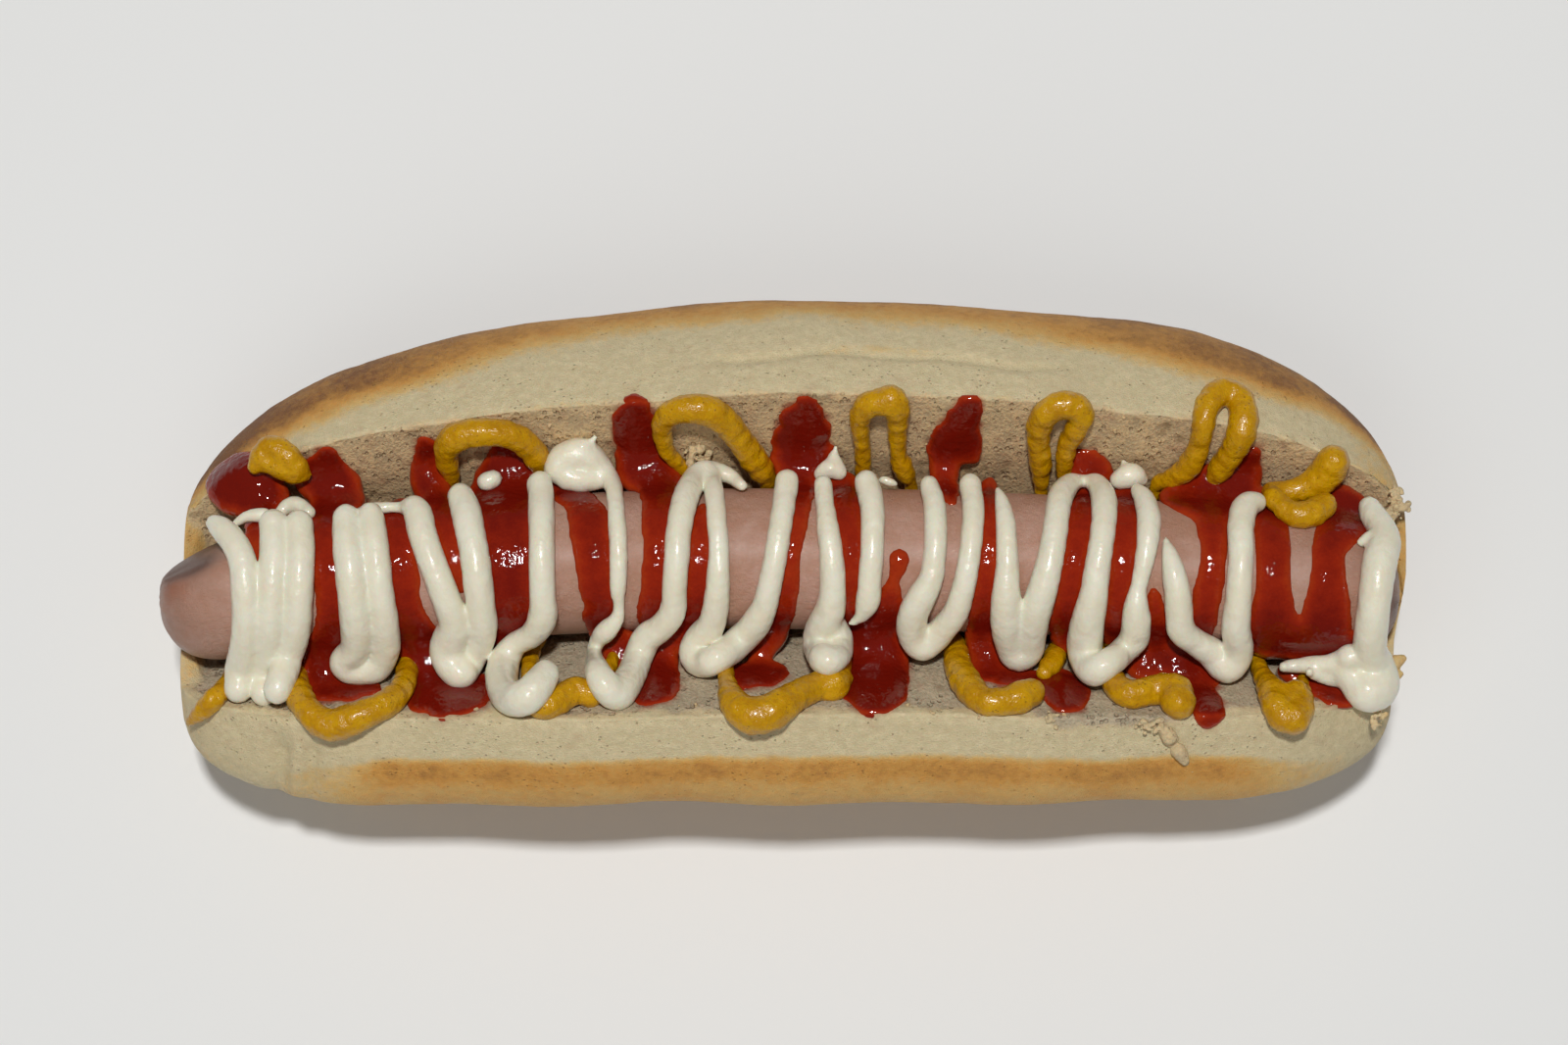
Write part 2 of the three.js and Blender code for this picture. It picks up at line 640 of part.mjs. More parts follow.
/** Mustard: full beads on the crumb, pressed to a film under the sausage. */
function makeMustard() {
  const heightAt = ({ at }) => {
    const reach = Math.hypot(at[0], at[1]);
    const aside = Math.sqrt(Math.max(reach ** 2 - GROOVE_RADIUS ** 2, 0));
    const room = aside >= SAUSAGE_RADIUS ? Infinity
      : GROOVE_RADIUS - Math.sqrt(SAUSAGE_RADIUS ** 2 - aside ** 2);
    return Math.min(MUSTARD.halfHeight, room / 2 - GAP - CLEAR);
  };
  const path = layRoute(zigzag(MUSTARD_TURNS), breadProfile, heightAt);
  const widthAt = () => MUSTARD.halfWidth;
  const pieces = strokes(thin(path));
  const build = (grow) => joined(pieces.map((piece) => bead(piece, widthAt, grow)));
  return { solid: build(0), clearance: build(GAP), samples: samplesOf(path, widthAt) };
}

/** Ketchup: flat bands over the sausage, pools and runs on the crumb. */
function makeKetchup() {
  const surface = (x) => toppedProfile(x, GAP + KETCHUP.halfHeight);
  const runs = [];
  const addRun = (route, widthAt) => {
    runs.push({ path: layRoute(route, surface, () => KETCHUP.halfHeight), widthAt });
  };
  for (const [farX, middleX, nearX, halfWidth, farY, nearY] of KETCHUP_BANDS) {
    const route = [[farX, farY], [middleX, 8], [middleX, 0], [middleX, -8], [nearX, nearY]];
    addRun(route, () => halfWidth);
  }
  for (const [x, y, halfLength, halfWidth] of KETCHUP_POOLS) {
    const round = (share) => halfWidth * Math.sqrt(Math.max(1 - (2 * share - 1) ** 2, 0.2));
    addRun([[x - halfLength, y], [x, y], [x + halfLength, y]], round);
  }
  const build = (grow) => joined(runs.map(({ path, widthAt }) => bead(thin(path), widthAt, grow)));
  const samples = runs.flatMap(({ path, widthAt }) => samplesOf(path, widthAt));
  return { solid: build(0), clearance: build(GAP), samples };
}

/** One mayonnaise piece from several routes that run into each other. */
function makeMayonnaise(routes, lower, scale) {
  const halfWidth = MAYONNAISE.halfWidth * scale;
  const halfHeight = MAYONNAISE.halfHeight * scale;
  const surface = (x) => toppedProfile(x, GAP + halfHeight);
  const pieces = routes.flatMap((route) => {
    const path = climbOver(layRoute(route, surface, () => halfHeight), halfWidth, lower);
    return strokes(thin(path)).map((piece) => bead(piece, () => halfWidth));
  });
  return joined(pieces);
}

// ---- The assembly ----

const bun = bunSolid();
const sausage = sausageSolid();
const solidRest = bunSolid(GAP).add(sausageSolid(GAP));

const mustard = makeMustard();
const ketchup = makeKetchup();
const below = mustard.samples.concat(ketchup.samples);
const cleared = solidRest.add(mustard.clearance).add(ketchup.clearance);

const hotDog = new THREE.Group();
const place = (name, solid, colour, roughness) => {
  const bodies = bodiesOf(solid);
  bodies.forEach((body, index) => {
    const label = bodies.length > 1 ? `${name}_${index + 1}` : name;
    hotDog.add(toMesh(body, label, colour, roughness));
  });
};

place('bun', bun, COLOURS.crust, 0.85);
place('sausage', sausage, COLOURS.sausage, 0.4);
place('mustard', mustard.solid.subtract(solidRest), COLOURS.mustard, 0.35);
place('ketchup', ketchup.solid.subtract(solidRest.add(mustard.clearance)), COLOURS.ketchup, 0.25);

const MAYONNAISE_PIECES = {
  mayonnaise_left: { routes: [zigzag(MAYONNAISE_LEFT_TURNS)], scale: 1 },
  mayonnaise_main: {
    routes: [zigzag(MAYONNAISE_MAIN_TURNS), zigzag(MAYONNAISE_MIDDLE_TURNS)], scale: 1,
  },
  mayonnaise_spur: { routes: [zigzag(MAYONNAISE_SPUR_TURNS)], scale: 1 },
  mayonnaise_right: { routes: [MAYONNAISE_RIGHT_ROUTE, MAYONNAISE_SMEAR_ROUTE], scale: 1.15 },
};
for (const [name, { routes, scale }] of Object.entries(MAYONNAISE_PIECES)) {
  const solid = makeMayonnaise(routes, below, scale).subtract(cleared);
  place(name, solid, COLOURS.mayonnaise, 0.3);
}

export default hotDog;
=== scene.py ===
"""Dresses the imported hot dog: baked bun, cooked sausage, mustard, ketchup, mayonnaise and torn crumbs."""
import logging
import math
from dataclasses import dataclass, field, replace
from enum import Enum
from typing import Final, Iterable, Mapping, Sequence, Union

import bpy
import numpy as np
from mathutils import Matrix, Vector


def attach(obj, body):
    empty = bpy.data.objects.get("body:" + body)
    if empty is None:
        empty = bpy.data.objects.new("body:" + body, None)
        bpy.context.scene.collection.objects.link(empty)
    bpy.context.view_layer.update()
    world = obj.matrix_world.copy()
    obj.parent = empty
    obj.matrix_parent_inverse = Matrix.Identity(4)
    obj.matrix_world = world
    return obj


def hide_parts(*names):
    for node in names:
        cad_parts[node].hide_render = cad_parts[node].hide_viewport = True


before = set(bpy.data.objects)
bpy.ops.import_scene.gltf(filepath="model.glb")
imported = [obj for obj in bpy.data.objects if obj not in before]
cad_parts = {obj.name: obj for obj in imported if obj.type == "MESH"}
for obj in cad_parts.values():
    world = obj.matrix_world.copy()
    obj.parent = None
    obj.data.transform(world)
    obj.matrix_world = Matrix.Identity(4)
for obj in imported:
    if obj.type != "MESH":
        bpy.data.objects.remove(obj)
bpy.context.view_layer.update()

LOG = logging.getLogger("hot_dog")
MM: Final = 0.001  # one millimetre in Blender's metres
BODY: Final = "root"
QUARTER_TURN: Final = math.pi / 2

Route = Sequence[tuple[float, float, float]]  # frame pixels across and down, and a share of the bead's radius
Layers = Sequence[tuple[float, float, int]]  # how much, the size of the lumps in millimetres, and the pattern
Spans = tuple[float, float, float, float]  # where a value rises, is full, starts to fall and is gone
Socket = bpy.types.NodeSocket
Feed = Union[Socket, float, str, Sequence[float]]  # what an input is joined to or set to
Colour = tuple[float, float, float, float]


class Slot(str, Enum):
    """Names of the material slots."""

    BUN = "bun"
    SAUSAGE = "sausage"
    MUSTARD = "mustard"
    KETCHUP = "ketchup"
    MAYONNAISE = "mayonnaise"


# ---- Numbers and noise ----


def smoothstep(low: float, high: float, value: np.ndarray) -> np.ndarray:
    """A smooth rise from 0 at low to 1 at high, or a fall if low is the greater."""
    share = np.clip((value - low) / (high - low), 0.0, 1.0)
    return share * share * (3.0 - 2.0 * share)


def within(spans: Spans, value: np.ndarray) -> np.ndarray:
    """1 between the inner two of four places, 0 outside the outer two, and smooth between them."""
    return smoothstep(spans[0], spans[1], value) * smoothstep(spans[3], spans[2], value)


def hump(middle: np.ndarray | float, width: float, value: np.ndarray) -> np.ndarray:
    """A round hump, 1 at its middle."""
    return np.exp(-((value - middle) / width) ** 2)


def way_along(points: np.ndarray) -> np.ndarray:
    """How far along a line each of its points lies."""
    return np.append(0.0, np.cumsum(np.linalg.norm(np.diff(points, axis=0), axis=1)))


def hashed(cells: np.ndarray, seed: int) -> np.ndarray:
    """A fixed value for each cell of a lattice.

    Args:
        cells: Whole-numbered places, one a row.
        seed: Picks one of many patterns.

    Returns:
        One value from -1 to 1 for each cell.
    """
    mixed = cells[:, 0] * 374761393 + cells[:, 1] * 668265263 + cells[:, 2] * 2147483647 + seed * 144665
    mixed = (mixed ^ (mixed >> 13)) * 1274126177
    return ((mixed ^ (mixed >> 16)) & 0xFFFFF) / 524287.5 - 1.0


def cloudy(points: np.ndarray, cell: float, seed: int) -> np.ndarray:
    """Smooth noise from -1 to 1.

    Args:
        points: Places in millimetres, one a row.
        cell: Size of its lumps in millimetres.
        seed: Picks one of many patterns.

    Returns:
        One value for each point.
    """
    scaled = points / cell
    corner = np.floor(scaled).astype(np.int64)
    part = scaled - corner
    ease = part * part * (3.0 - 2.0 * part)
    total = np.zeros(len(points))
    for offset in np.ndindex(2, 2, 2):
        weight = np.prod(np.where(np.array(offset) == 1, ease, 1.0 - ease), axis=1)
        total += weight * hashed(corner + np.array(offset), seed)
    return total


def layered(points: np.ndarray, layers: Layers) -> np.ndarray:
    """Smooth noise of several sizes, summed."""
    return sum(amount * cloudy(points, cell, seed) for amount, cell, seed in layers)


def pore_distance(points: np.ndarray, cell: float, seed: int, scatter: float = 0.45) -> np.ndarray:
    """Distance to the nearest of scattered pores, in units of the cell.

    Args:
        points: Places in millimetres, one a row.
        cell: Mean distance between pores in millimetres.
        seed: Picks one of many patterns.
        scatter: How far a pore strays from the middle of its cell.

    Returns:
        One distance for each point, 0 at a pore's centre.
    """
    scaled = points / cell
    corner = np.floor(scaled).astype(np.int64)
    nearest = np.full(len(points), np.inf)
    for step in np.ndindex(3, 3, 3):
        cells = corner + np.array(step) - 1
        jitter = np.stack([hashed(cells, seed + axis) for axis in range(3)], axis=1)
        nearest = np.minimum(nearest, np.linalg.norm(scaled - (cells + 0.5 + scatter * jitter), axis=1))
    return nearest


def evened(values: np.ndarray, axis: int = 0) -> np.ndarray:
    """Values averaged once with their neighbours along an axis, whose ends meet."""
    return 0.5 * values + 0.25 * (np.roll(values, 1, axis) + np.roll(values, -1, axis))


def softened(grid: np.ndarray, rounds: int) -> np.ndarray:
    """A grid evened out by that many rounds of averaging with its neighbours."""
    for _ in range(rounds):
        grid = evened(evened(grid, 0), 1)
    return grid


def through(route: Route, spacing: float) -> np.ndarray:
    """Evenly close points on a smooth curve through a given route.

    Args:
        route: The route's corners, three numbers each.
        spacing: Distance between the points, in the route's own unit.

    Returns:
        The points, one a row.
    """
    corners = np.array(route, float)
    padded = np.vstack([2 * corners[0] - corners[1], corners, 2 * corners[-1] - corners[-2]])
    pieces = []
    for before, start, end, after in zip(padded, padded[1:], padded[2:], padded[3:]):
        steps = max(2, math.ceil(np.linalg.norm(end[:2] - start[:2]) / spacing))
        t = np.arange(steps)[:, None] / steps
        bend = 2 * before - 5 * start + 4 * end - after
        turn = 3 * start - before - 3 * end + after
        pieces.append(0.5 * (2 * start + (end - before) * t + bend * t**2 + turn * t**3))
    return np.vstack(pieces + [corners[-1:]])


# ---- The camera and the way it looks ----


@dataclass(frozen=True)
class Sight:
    """The line of sight: almost straight down on the food, from a little on its near side."""

    elevation_deg: float = 82.0
    distance: float = 575.0  # millimetres from the middle of the view
    middle: tuple[float, float, float] = (-1.6, 5.4, 31.5)
    width: int = 1600
    height: int = 1066
    pixel: float = 0.145  # millimetres of the food for each pixel of the frame
    sensor: float = 36.0
    above: float = 8.0  # how far above the middle a line of sight is first cut
    rounds: int = 14  # steps in which it closes in on a bed
    pull: float = 0.6  # share of the way that it closes in a step

    @property
    def towards_camera(self) -> np.ndarray:
        """Unit vector from the food to the camera."""
        elevation = math.radians(self.elevation_deg)
        return np.array([0.0, -math.cos(elevation), math.sin(elevation)])

    @property
    def upwards(self) -> np.ndarray:
        """Unit vector that points up in the picture."""
        elevation = math.radians(self.elevation_deg)
        return np.array([0.0, math.sin(elevation), math.cos(elevation)])

    @property
    def eye(self) -> np.ndarray:
        """Where the camera is, in millimetres."""
        return np.array(self.middle) + self.distance * self.towards_camera

    def land(self, pixels: np.ndarray, bed: "Bed") -> np.ndarray:
        """Follows the line of sight of each pixel down to a bed.

        Args:
            pixels: Pixels across and down, one pair a row.
            bed: The heights to land on.

        Returns:
            Places in millimetres, one a row.
        """
        across = (pixels[:, 0] - self.width / 2) * self.pixel
        up = (self.height / 2 - pixels[:, 1]) * self.pixel
        on_plane = np.array(self.middle) + np.outer(across, [1.0, 0.0, 0.0]) + np.outer(up, self.upwards)
        ray = on_plane - self.eye
        height = np.full(len(pixels), self.middle[2] + self.above)
        for _ in range(self.rounds):
            spot = self.eye + ray * ((height - self.eye[2]) / ray[:, 2])[:, None]
            height = (1.0 - self.pull) * height + self.pull * bed.at(spot[:, 0], spot[:, 1])
        return self.eye + ray * ((height - self.eye[2]) / ray[:, 2])[:, None]

    def set_camera(self) -> None:
        """Makes the camera and gives it to the scene."""
        data = bpy.data.cameras.new("camera")
        data.sensor_width = self.sensor
        data.lens = self.sensor * self.distance / (self.width * self.pixel)
        camera = bpy.data.objects.new("camera", data)
        camera.location = Vector(self.eye * MM)
        camera.rotation_euler = Vector(-self.towards_camera).to_track_quat("-Z", "Y").to_euler()
        bpy.context.scene.collection.objects.link(camera)
        bpy.context.scene.camera = camera


SIGHT: Final = Sight()


# ---- The bun's and the sausage's true form ----


@dataclass(frozen=True)
class Half:
    """One half of the bun, side +1 for the crown and -1 for the base."""

    side: int
    lean_deg: float
    thickness: float
    power: float  # how square its section is, 2 being round
    end_power: float
    end_root: float
    skew: float  # share of the half length that its fullest place lies to the right
    phase: float

    @property
    def up(self) -> np.ndarray:
        """Unit vector from the hinge to the cut edge, across and up."""
        lean = math.radians(self.lean_deg)
        return np.array([self.side * math.sin(lean), math.cos(lean)])

    @property
    def into(self) -> np.ndarray:
        """Unit vector from the cut face into the bread."""
        lean = math.radians(self.lean_deg)
        return np.array([self.side * math.cos(lean), -math.sin(lean)])


@dataclass(frozen=True)
class Form:
    """The sizes that the bun and the sausage are worked out from, in millimetres."""

    length: float = 182.5
    depth: float = 48.0
    rim_rise: float = 12.8
    axis_height: float = 31.5
    blunt_share: float = 0.992
    fullest_share: float = 0.9999  # no section is taken nearer than this to a half's point
    sausage_radius: float = 10.5
    left_tip: float = -93.7
    right_tip: float = 89.2
    tip_length: float = 11.0
    tip_power: float = 2.6
    tip_root: float = 2.2
    end_bow: float = 5.5
    groove_radius: float = 12.5
    rim_power: float = 2.5
    hinge_power: float = 4.0
    long_wave: tuple[float, float] = (0.35, 11.0)  # the loaf's unevenness: height, then length
    short_wave: tuple[float, float] = (0.25, 5.3)
    near: Half = Half(-1, 35.3, 20.0, 4.0, 4.0, 4.0, -0.06, 3.7)
    far: Half = Half(1, 31.3, 29.0, 2.8, 4.0, 1.95, 0.12, 1.1)

    def bow(self, x: np.ndarray | float) -> np.ndarray | float:
        """How far the axis bends towards the near side."""
        return -self.end_bow * (x / abs(self.left_tip)) ** 2

    def taper(self, half: Half, u: float, power: float, root: float) -> float:
        """How much of a half's size is left at a share of the half length."""
        own = u - half.skew * (1 - u * u)
        return (1 - min(abs(own), self.fullest_share) ** power) ** (1 / root)

    def ripple(self, x: float, phase: float) -> float:
        """Slow unevenness along the loaf."""
        (high, long), (low, short) = self.long_wave, self.short_wave
        return high * math.sin(x / long + phase) + low * math.sin(x / short + 2 * phase)

    def middle_of(self, half: Half) -> np.ndarray:
        """Where the middle of a cut face is.

        Args:
            half: Which half.

        Returns:
            The place across and up from the axis.
        """
        lean = math.radians(half.lean_deg)
        reach = (self.groove_radius + self.rim_rise * math.sin(lean)) / math.cos(lean)
        return np.array([half.side * reach, self.rim_rise]) - half.up * self.depth / 2

    def rim_depth(self, half: Half, u: float) -> float:
        """Distance from the middle of the cut face to its edge."""
        taper = self.taper(half, u, self.rim_power, self.rim_power)
        return self.depth / 2 * taper + self.ripple(u * self.length / 2, half.phase)

    def rim_point(self, half: Half, u: float) -> np.ndarray:
        """The cut edge at a share of the half length."""
        return self.middle_of(half) + half.up * self.rim_depth(half, u)

    def skin(self, half: Half, u: float, angles: np.ndarray) -> tuple[np.ndarray, np.ndarray]:
        """Points on the outer skin.

        Args:
            half: Which half.
            u: Share of the half length.
            angles: 0 at the cut edge, pi at the hinge.

        Returns:
            The points across and up, and how far each is from the cut face.
        """
        hinge_depth = self.depth / 2 * self.taper(half, u, self.hinge_power, self.hinge_power)
        depth = np.where(angles < QUARTER_TURN, self.rim_depth(half, u), hinge_depth)
        cosine = np.cos(angles)
        along = np.sign(cosine) * np.abs(cosine) ** (2 / half.power) * depth
        thickness = half.thickness * self.taper(half, u, half.end_power, half.end_root)
        thickness += self.ripple(u * self.length / 2, 2 * half.phase)
        out = np.abs(np.sin(angles)) ** (2 / half.power) * thickness
        return self.middle_of(half) + np.outer(along, half.up) + np.outer(out, half.into), out

    def sausage_radius_at(self, x: np.ndarray) -> np.ndarray:
        """The sausage's radius along its length.

        Args:
            x: Places along it.

        Returns:
            The radius at each place, 0 past the tips.
        """
        from_tip = np.minimum(x - self.left_tip, self.right_tip - x)
        share = np.clip(from_tip / self.tip_length, 0.0, 1.0)
        return self.sausage_radius * (1 - (1 - share) ** self.tip_power) ** (1 / self.tip_root)


FORM: Final = Form()


class Bed:
    """Heights above the table on a close grid, seen from above, in millimetres."""

    STEP: Final = 0.35
    REACH: Final = (95.5, 46.0)  # how far the grid goes each way along and across
    XS: Final = np.arange(-REACH[0], REACH[0], STEP)
    YS: Final = np.arange(-REACH[1], REACH[1], STEP)
    LAST: Final = 1.001  # steps left free at the far edge, for the next point
    NOTHING: Final = -1e3
    GROOVE_POINTS: Final = 24
    SKIN_POINTS: Final = 40

    def __init__(self, heights: np.ndarray) -> None:
        """Keeps a grid of heights, one row for each x."""
        self.heights = heights

    def at(self, x: np.ndarray, y: np.ndarray) -> np.ndarray:
        """Heights at any places, between the grid's points too.

        Args:
            x: The places along.
            y: The places across.

        Returns:
            One height for each place.
        """
        across = np.clip((x - self.XS[0]) / self.STEP, 0, len(self.XS) - self.LAST)
        away = np.clip((y - self.YS[0]) / self.STEP, 0, len(self.YS) - self.LAST)
        i, j = across.astype(int), away.astype(int)
        s, t = across - i, away - j
        grid = self.heights
        return ((1 - s) * ((1 - t) * grid[i, j] + t * grid[i, j + 1])
                + s * ((1 - t) * grid[i + 1, j] + t * grid[i + 1, j + 1]))

    @classmethod
    def disc(cls, x: float, y: float, radius: float) -> tuple[tuple[slice, slice], np.ndarray]:
        """The patch of the grid round a place.

        Args:
            x: The place along.
            y: The place across.
            radius: How far the patch reaches.

        Returns:
            The patch's rows and columns, and its points' squared distances from the place.
        """
        rows = slice(*np.searchsorted(cls.XS, [x - radius, x + radius]))
        columns = slice(*np.searchsorted(cls.YS, [y - radius, y + radius]))
        return (rows, columns), (cls.XS[rows, None] - x) ** 2 + (cls.YS[None, columns] - y) ** 2

    def rolled(self, radius: float) -> "Bed":
        """Rests a ball on this bed everywhere.

        Args:
            radius: The ball's radius.

        Returns:
            The heights of the ball's centre.
        """
        reach = int(radius / self.STEP)
        padded = np.pad(self.heights, reach, mode="edge")
        rows, columns = self.heights.shape
        best = np.full_like(self.heights, self.NOTHING)
        for i in range(-reach, reach + 1):
            for j in range(-reach, reach + 1):
                aside = (i * i + j * j) * self.STEP**2
                if aside <= radius * radius:
                    window = padded[reach + i:reach + i + rows, reach + j:reach + j + columns]
                    np.maximum(best, window + math.sqrt(radius * radius - aside), out=best)
        return Bed(best)

    def filleted(self, radius: float) -> "Bed":
        """This bed with its narrow clefts filled, as a thick liquid fills them."""
        return Bed(-Bed(-self.rolled(radius).heights).rolled(radius).heights)

    def raised(self, beads: np.ndarray, share: float) -> "Bed":
        """This bed with squeezed beads lying on it.

        Args:
            beads: Centres and radii, four numbers a row.
            share: How much of each radius keeps a later bead away.

        Returns:
            The raised bed.
        """
        heights = self.heights.copy()
        for x, y, z, radius in beads:
            size = radius * share
            spot, aside = self.disc(x, y, size)
            top = z + np.sqrt(np.clip(size * size - aside, 0.0, None))
            heights[spot] = np.where(aside < size * size, np.maximum(heights[spot], top), heights[spot])
        return Bed(heights)

    @classmethod
    def of_bread(cls) -> "Bed":
        """Takes the heights of the opened bun's top.

        Returns:
            The bed.
        """
        heights = np.zeros((len(cls.XS), len(cls.YS)))
        lowest, highest = 180 + FORM.near.lean_deg, 360 - FORM.far.lean_deg
        groove = np.radians(np.linspace(lowest, highest, cls.GROOVE_POINTS))
        floor = FORM.groove_radius * np.stack([np.cos(groove), np.sin(groove)], axis=1)
        angles = np.linspace(0.0, QUARTER_TURN, cls.SKIN_POINTS)
        for row, x in zip(heights, cls.XS):
            u = float(np.clip(2 * x / FORM.length, -FORM.blunt_share, FORM.blunt_share))
            near_skin, far_skin = (FORM.skin(half, u, angles)[0] for half in (FORM.near, FORM.far))
            line = np.vstack([near_skin[::-1], floor, far_skin])
            line = line[np.argsort(line[:, 0], kind="stable")]
            up = line[:, 1] + FORM.axis_height
            row[:] = np.interp(cls.YS - FORM.bow(x), line[:, 0], up, left=0.0, right=0.0)
        heights[np.abs(cls.XS) > FORM.length / 2 * FORM.blunt_share] = 0.0
        return cls(heights)

    def with_sausage(self) -> "Bed":
        """Lays the sausage in this bed.

        Returns:
            The raised bed.
        """
        radius = FORM.sausage_radius_at(self.XS)[:, None]
        aside = self.YS[None, :] - FORM.bow(self.XS)[:, None]
        top = FORM.axis_height + np.sqrt(np.clip(radius**2 - aside**2, 0.0, None))
        return Bed(np.where(np.abs(aside) < radius, np.maximum(self.heights, top), self.heights))


# ---- Nodes ----


class Wiring:
    """Adds nodes to a tree and joins their sockets."""

    def __init__(self, tree: bpy.types.NodeTree) -> None:
        """Works on one tree."""
        self.tree = tree

    def feed(self, target: Socket, value: Feed) -> None:
        """Joins a socket to an input, or sets the input to a value."""
        if isinstance(value, Socket):
            self.tree.links.new(value, target)
        else:
            target.default_value = value

    def add(self, kind: str, feeds: Mapping[str | int, Feed] | None = None, **settings) -> bpy.types.Node:
        """Adds a node.

        Args:
            kind: Blender's name for the node.
            feeds: A socket or a value for each named or numbered input.
            **settings: Values of the node's own properties.

        Returns:
            The new node.
        """
        node = self.tree.nodes.new(kind)
        for name, value in settings.items():
            setattr(node, name, value)
        for name, value in (feeds or {}).items():
            self.feed(node.inputs[name], value)
        return node

    def first(self, kind: str, feeds: Mapping[str | int, Feed] | None = None, **settings) -> Socket:
        """Adds a node as add does and returns its first output."""
        return self.add(kind, feeds, **settings).outputs[0]

    def math(self, operation: str, a: Feed, b: Feed, clamp: bool = False) -> Socket:
        """Adds a sum on two sockets or numbers and returns its result."""
        return self.first("ShaderNodeMath", {0: a, 1: b}, operation=operation, use_clamp=clamp)

    def times(self, a: Feed, b: Feed) -> Socket:
        """The product of two sockets or numbers."""
        return self.math("MULTIPLY", a, b)

    def swing(self, pattern: Socket, reach: float) -> Socket:
        """A pattern from 0 to 1 turned into one round 0, reach wide in all."""
        return self.times(self.math("SUBTRACT", pattern, 0.5), reach)

    def noise(self, vector: Feed, scale: Feed, detail: float, roughness: float = 0.5) -> Socket:
        """Adds a cloudy pattern and returns its value from 0 to 1."""
        feeds = {"Vector": vector, "Scale": scale, "Detail": detail, "Roughness": roughness}
        return self.first("ShaderNodeTexNoise", feeds)

    def ramp(self, factor: Socket, stops: Sequence[tuple[float, Colour]]) -> Socket:
        """Adds a run of colours.

        Args:
            factor: Socket that picks the place on the run.
            stops: Places from 0 to 1 with their colours.

        Returns:
            The colour.
        """
        node = self.add("ShaderNodeValToRGB", {0: factor})
        elements = node.color_ramp.elements
        elements[0].position, elements[0].color = stops[0]
        elements[1].position, elements[1].color = stops[-1]
        for place, colour in stops[1:-1]:
            elements.new(place).color = colour
        return node.outputs[0]

    def mask(self, factor: Socket, low: float, high: float) -> Socket:
        """A smooth rise from 0 at low to 1 at high."""
        feeds = {"Value": factor, "From Min": low, "From Max": high}
        return self.first("ShaderNodeMapRange", feeds, interpolation_type="SMOOTHSTEP")

    def mix(self, factor: Feed, a: Feed, b: Feed, blend: str = "MIX") -> Socket:
        """Mixes two colours and returns the result."""
        node = self.add("ShaderNodeMix", {0: factor, 6: a, 7: b}, data_type="RGBA", blend_type=blend)
        return node.outputs[2]

    def attribute(self, name: str) -> Socket:
        """The value that a piece holds under a name."""
        return self.add("ShaderNodeAttribute", attribute_name=name).outputs["Fac"]


def srgb(red: float, green: float, blue: float) -> Colour:
    """A colour given from 0 to 255 as a screen shows it, in Blender's linear numbers."""
    linear = [(c / 255 / 12.92) if c <= 10.3 else ((c / 255 + 0.055) / 1.055) ** 2.4
              for c in (red, green, blue)]
    return (linear[0], linear[1], linear[2], 1.0)


def new_group(name: str, kind: str, inputs: Mapping[str, str], outputs: Mapping[str, str]
              ) -> tuple[Wiring, bpy.types.NodeOutputs, bpy.types.NodeInputs]:
    """Makes an empty node group with named sockets.

    Args:
        name: The group's name.
        kind: "Shader" or "Geometry".
        inputs: Socket kinds by input name.
        outputs: Socket kinds by output name.

    Returns:
        The group's wiring, the sockets that it is given and those that it puts out.
    """
    tree = bpy.data.node_groups.new(name, kind + "NodeTree")
    for way, sockets in (("INPUT", inputs), ("OUTPUT", outputs)):
        for label, socket in sockets.items():
            tree.interface.new_socket(label, in_out=way, socket_type="NodeSocket" + socket)
    wire = Wiring(tree)
    return wire, wire.add("NodeGroupInput").outputs, wire.add("NodeGroupOutput").inputs


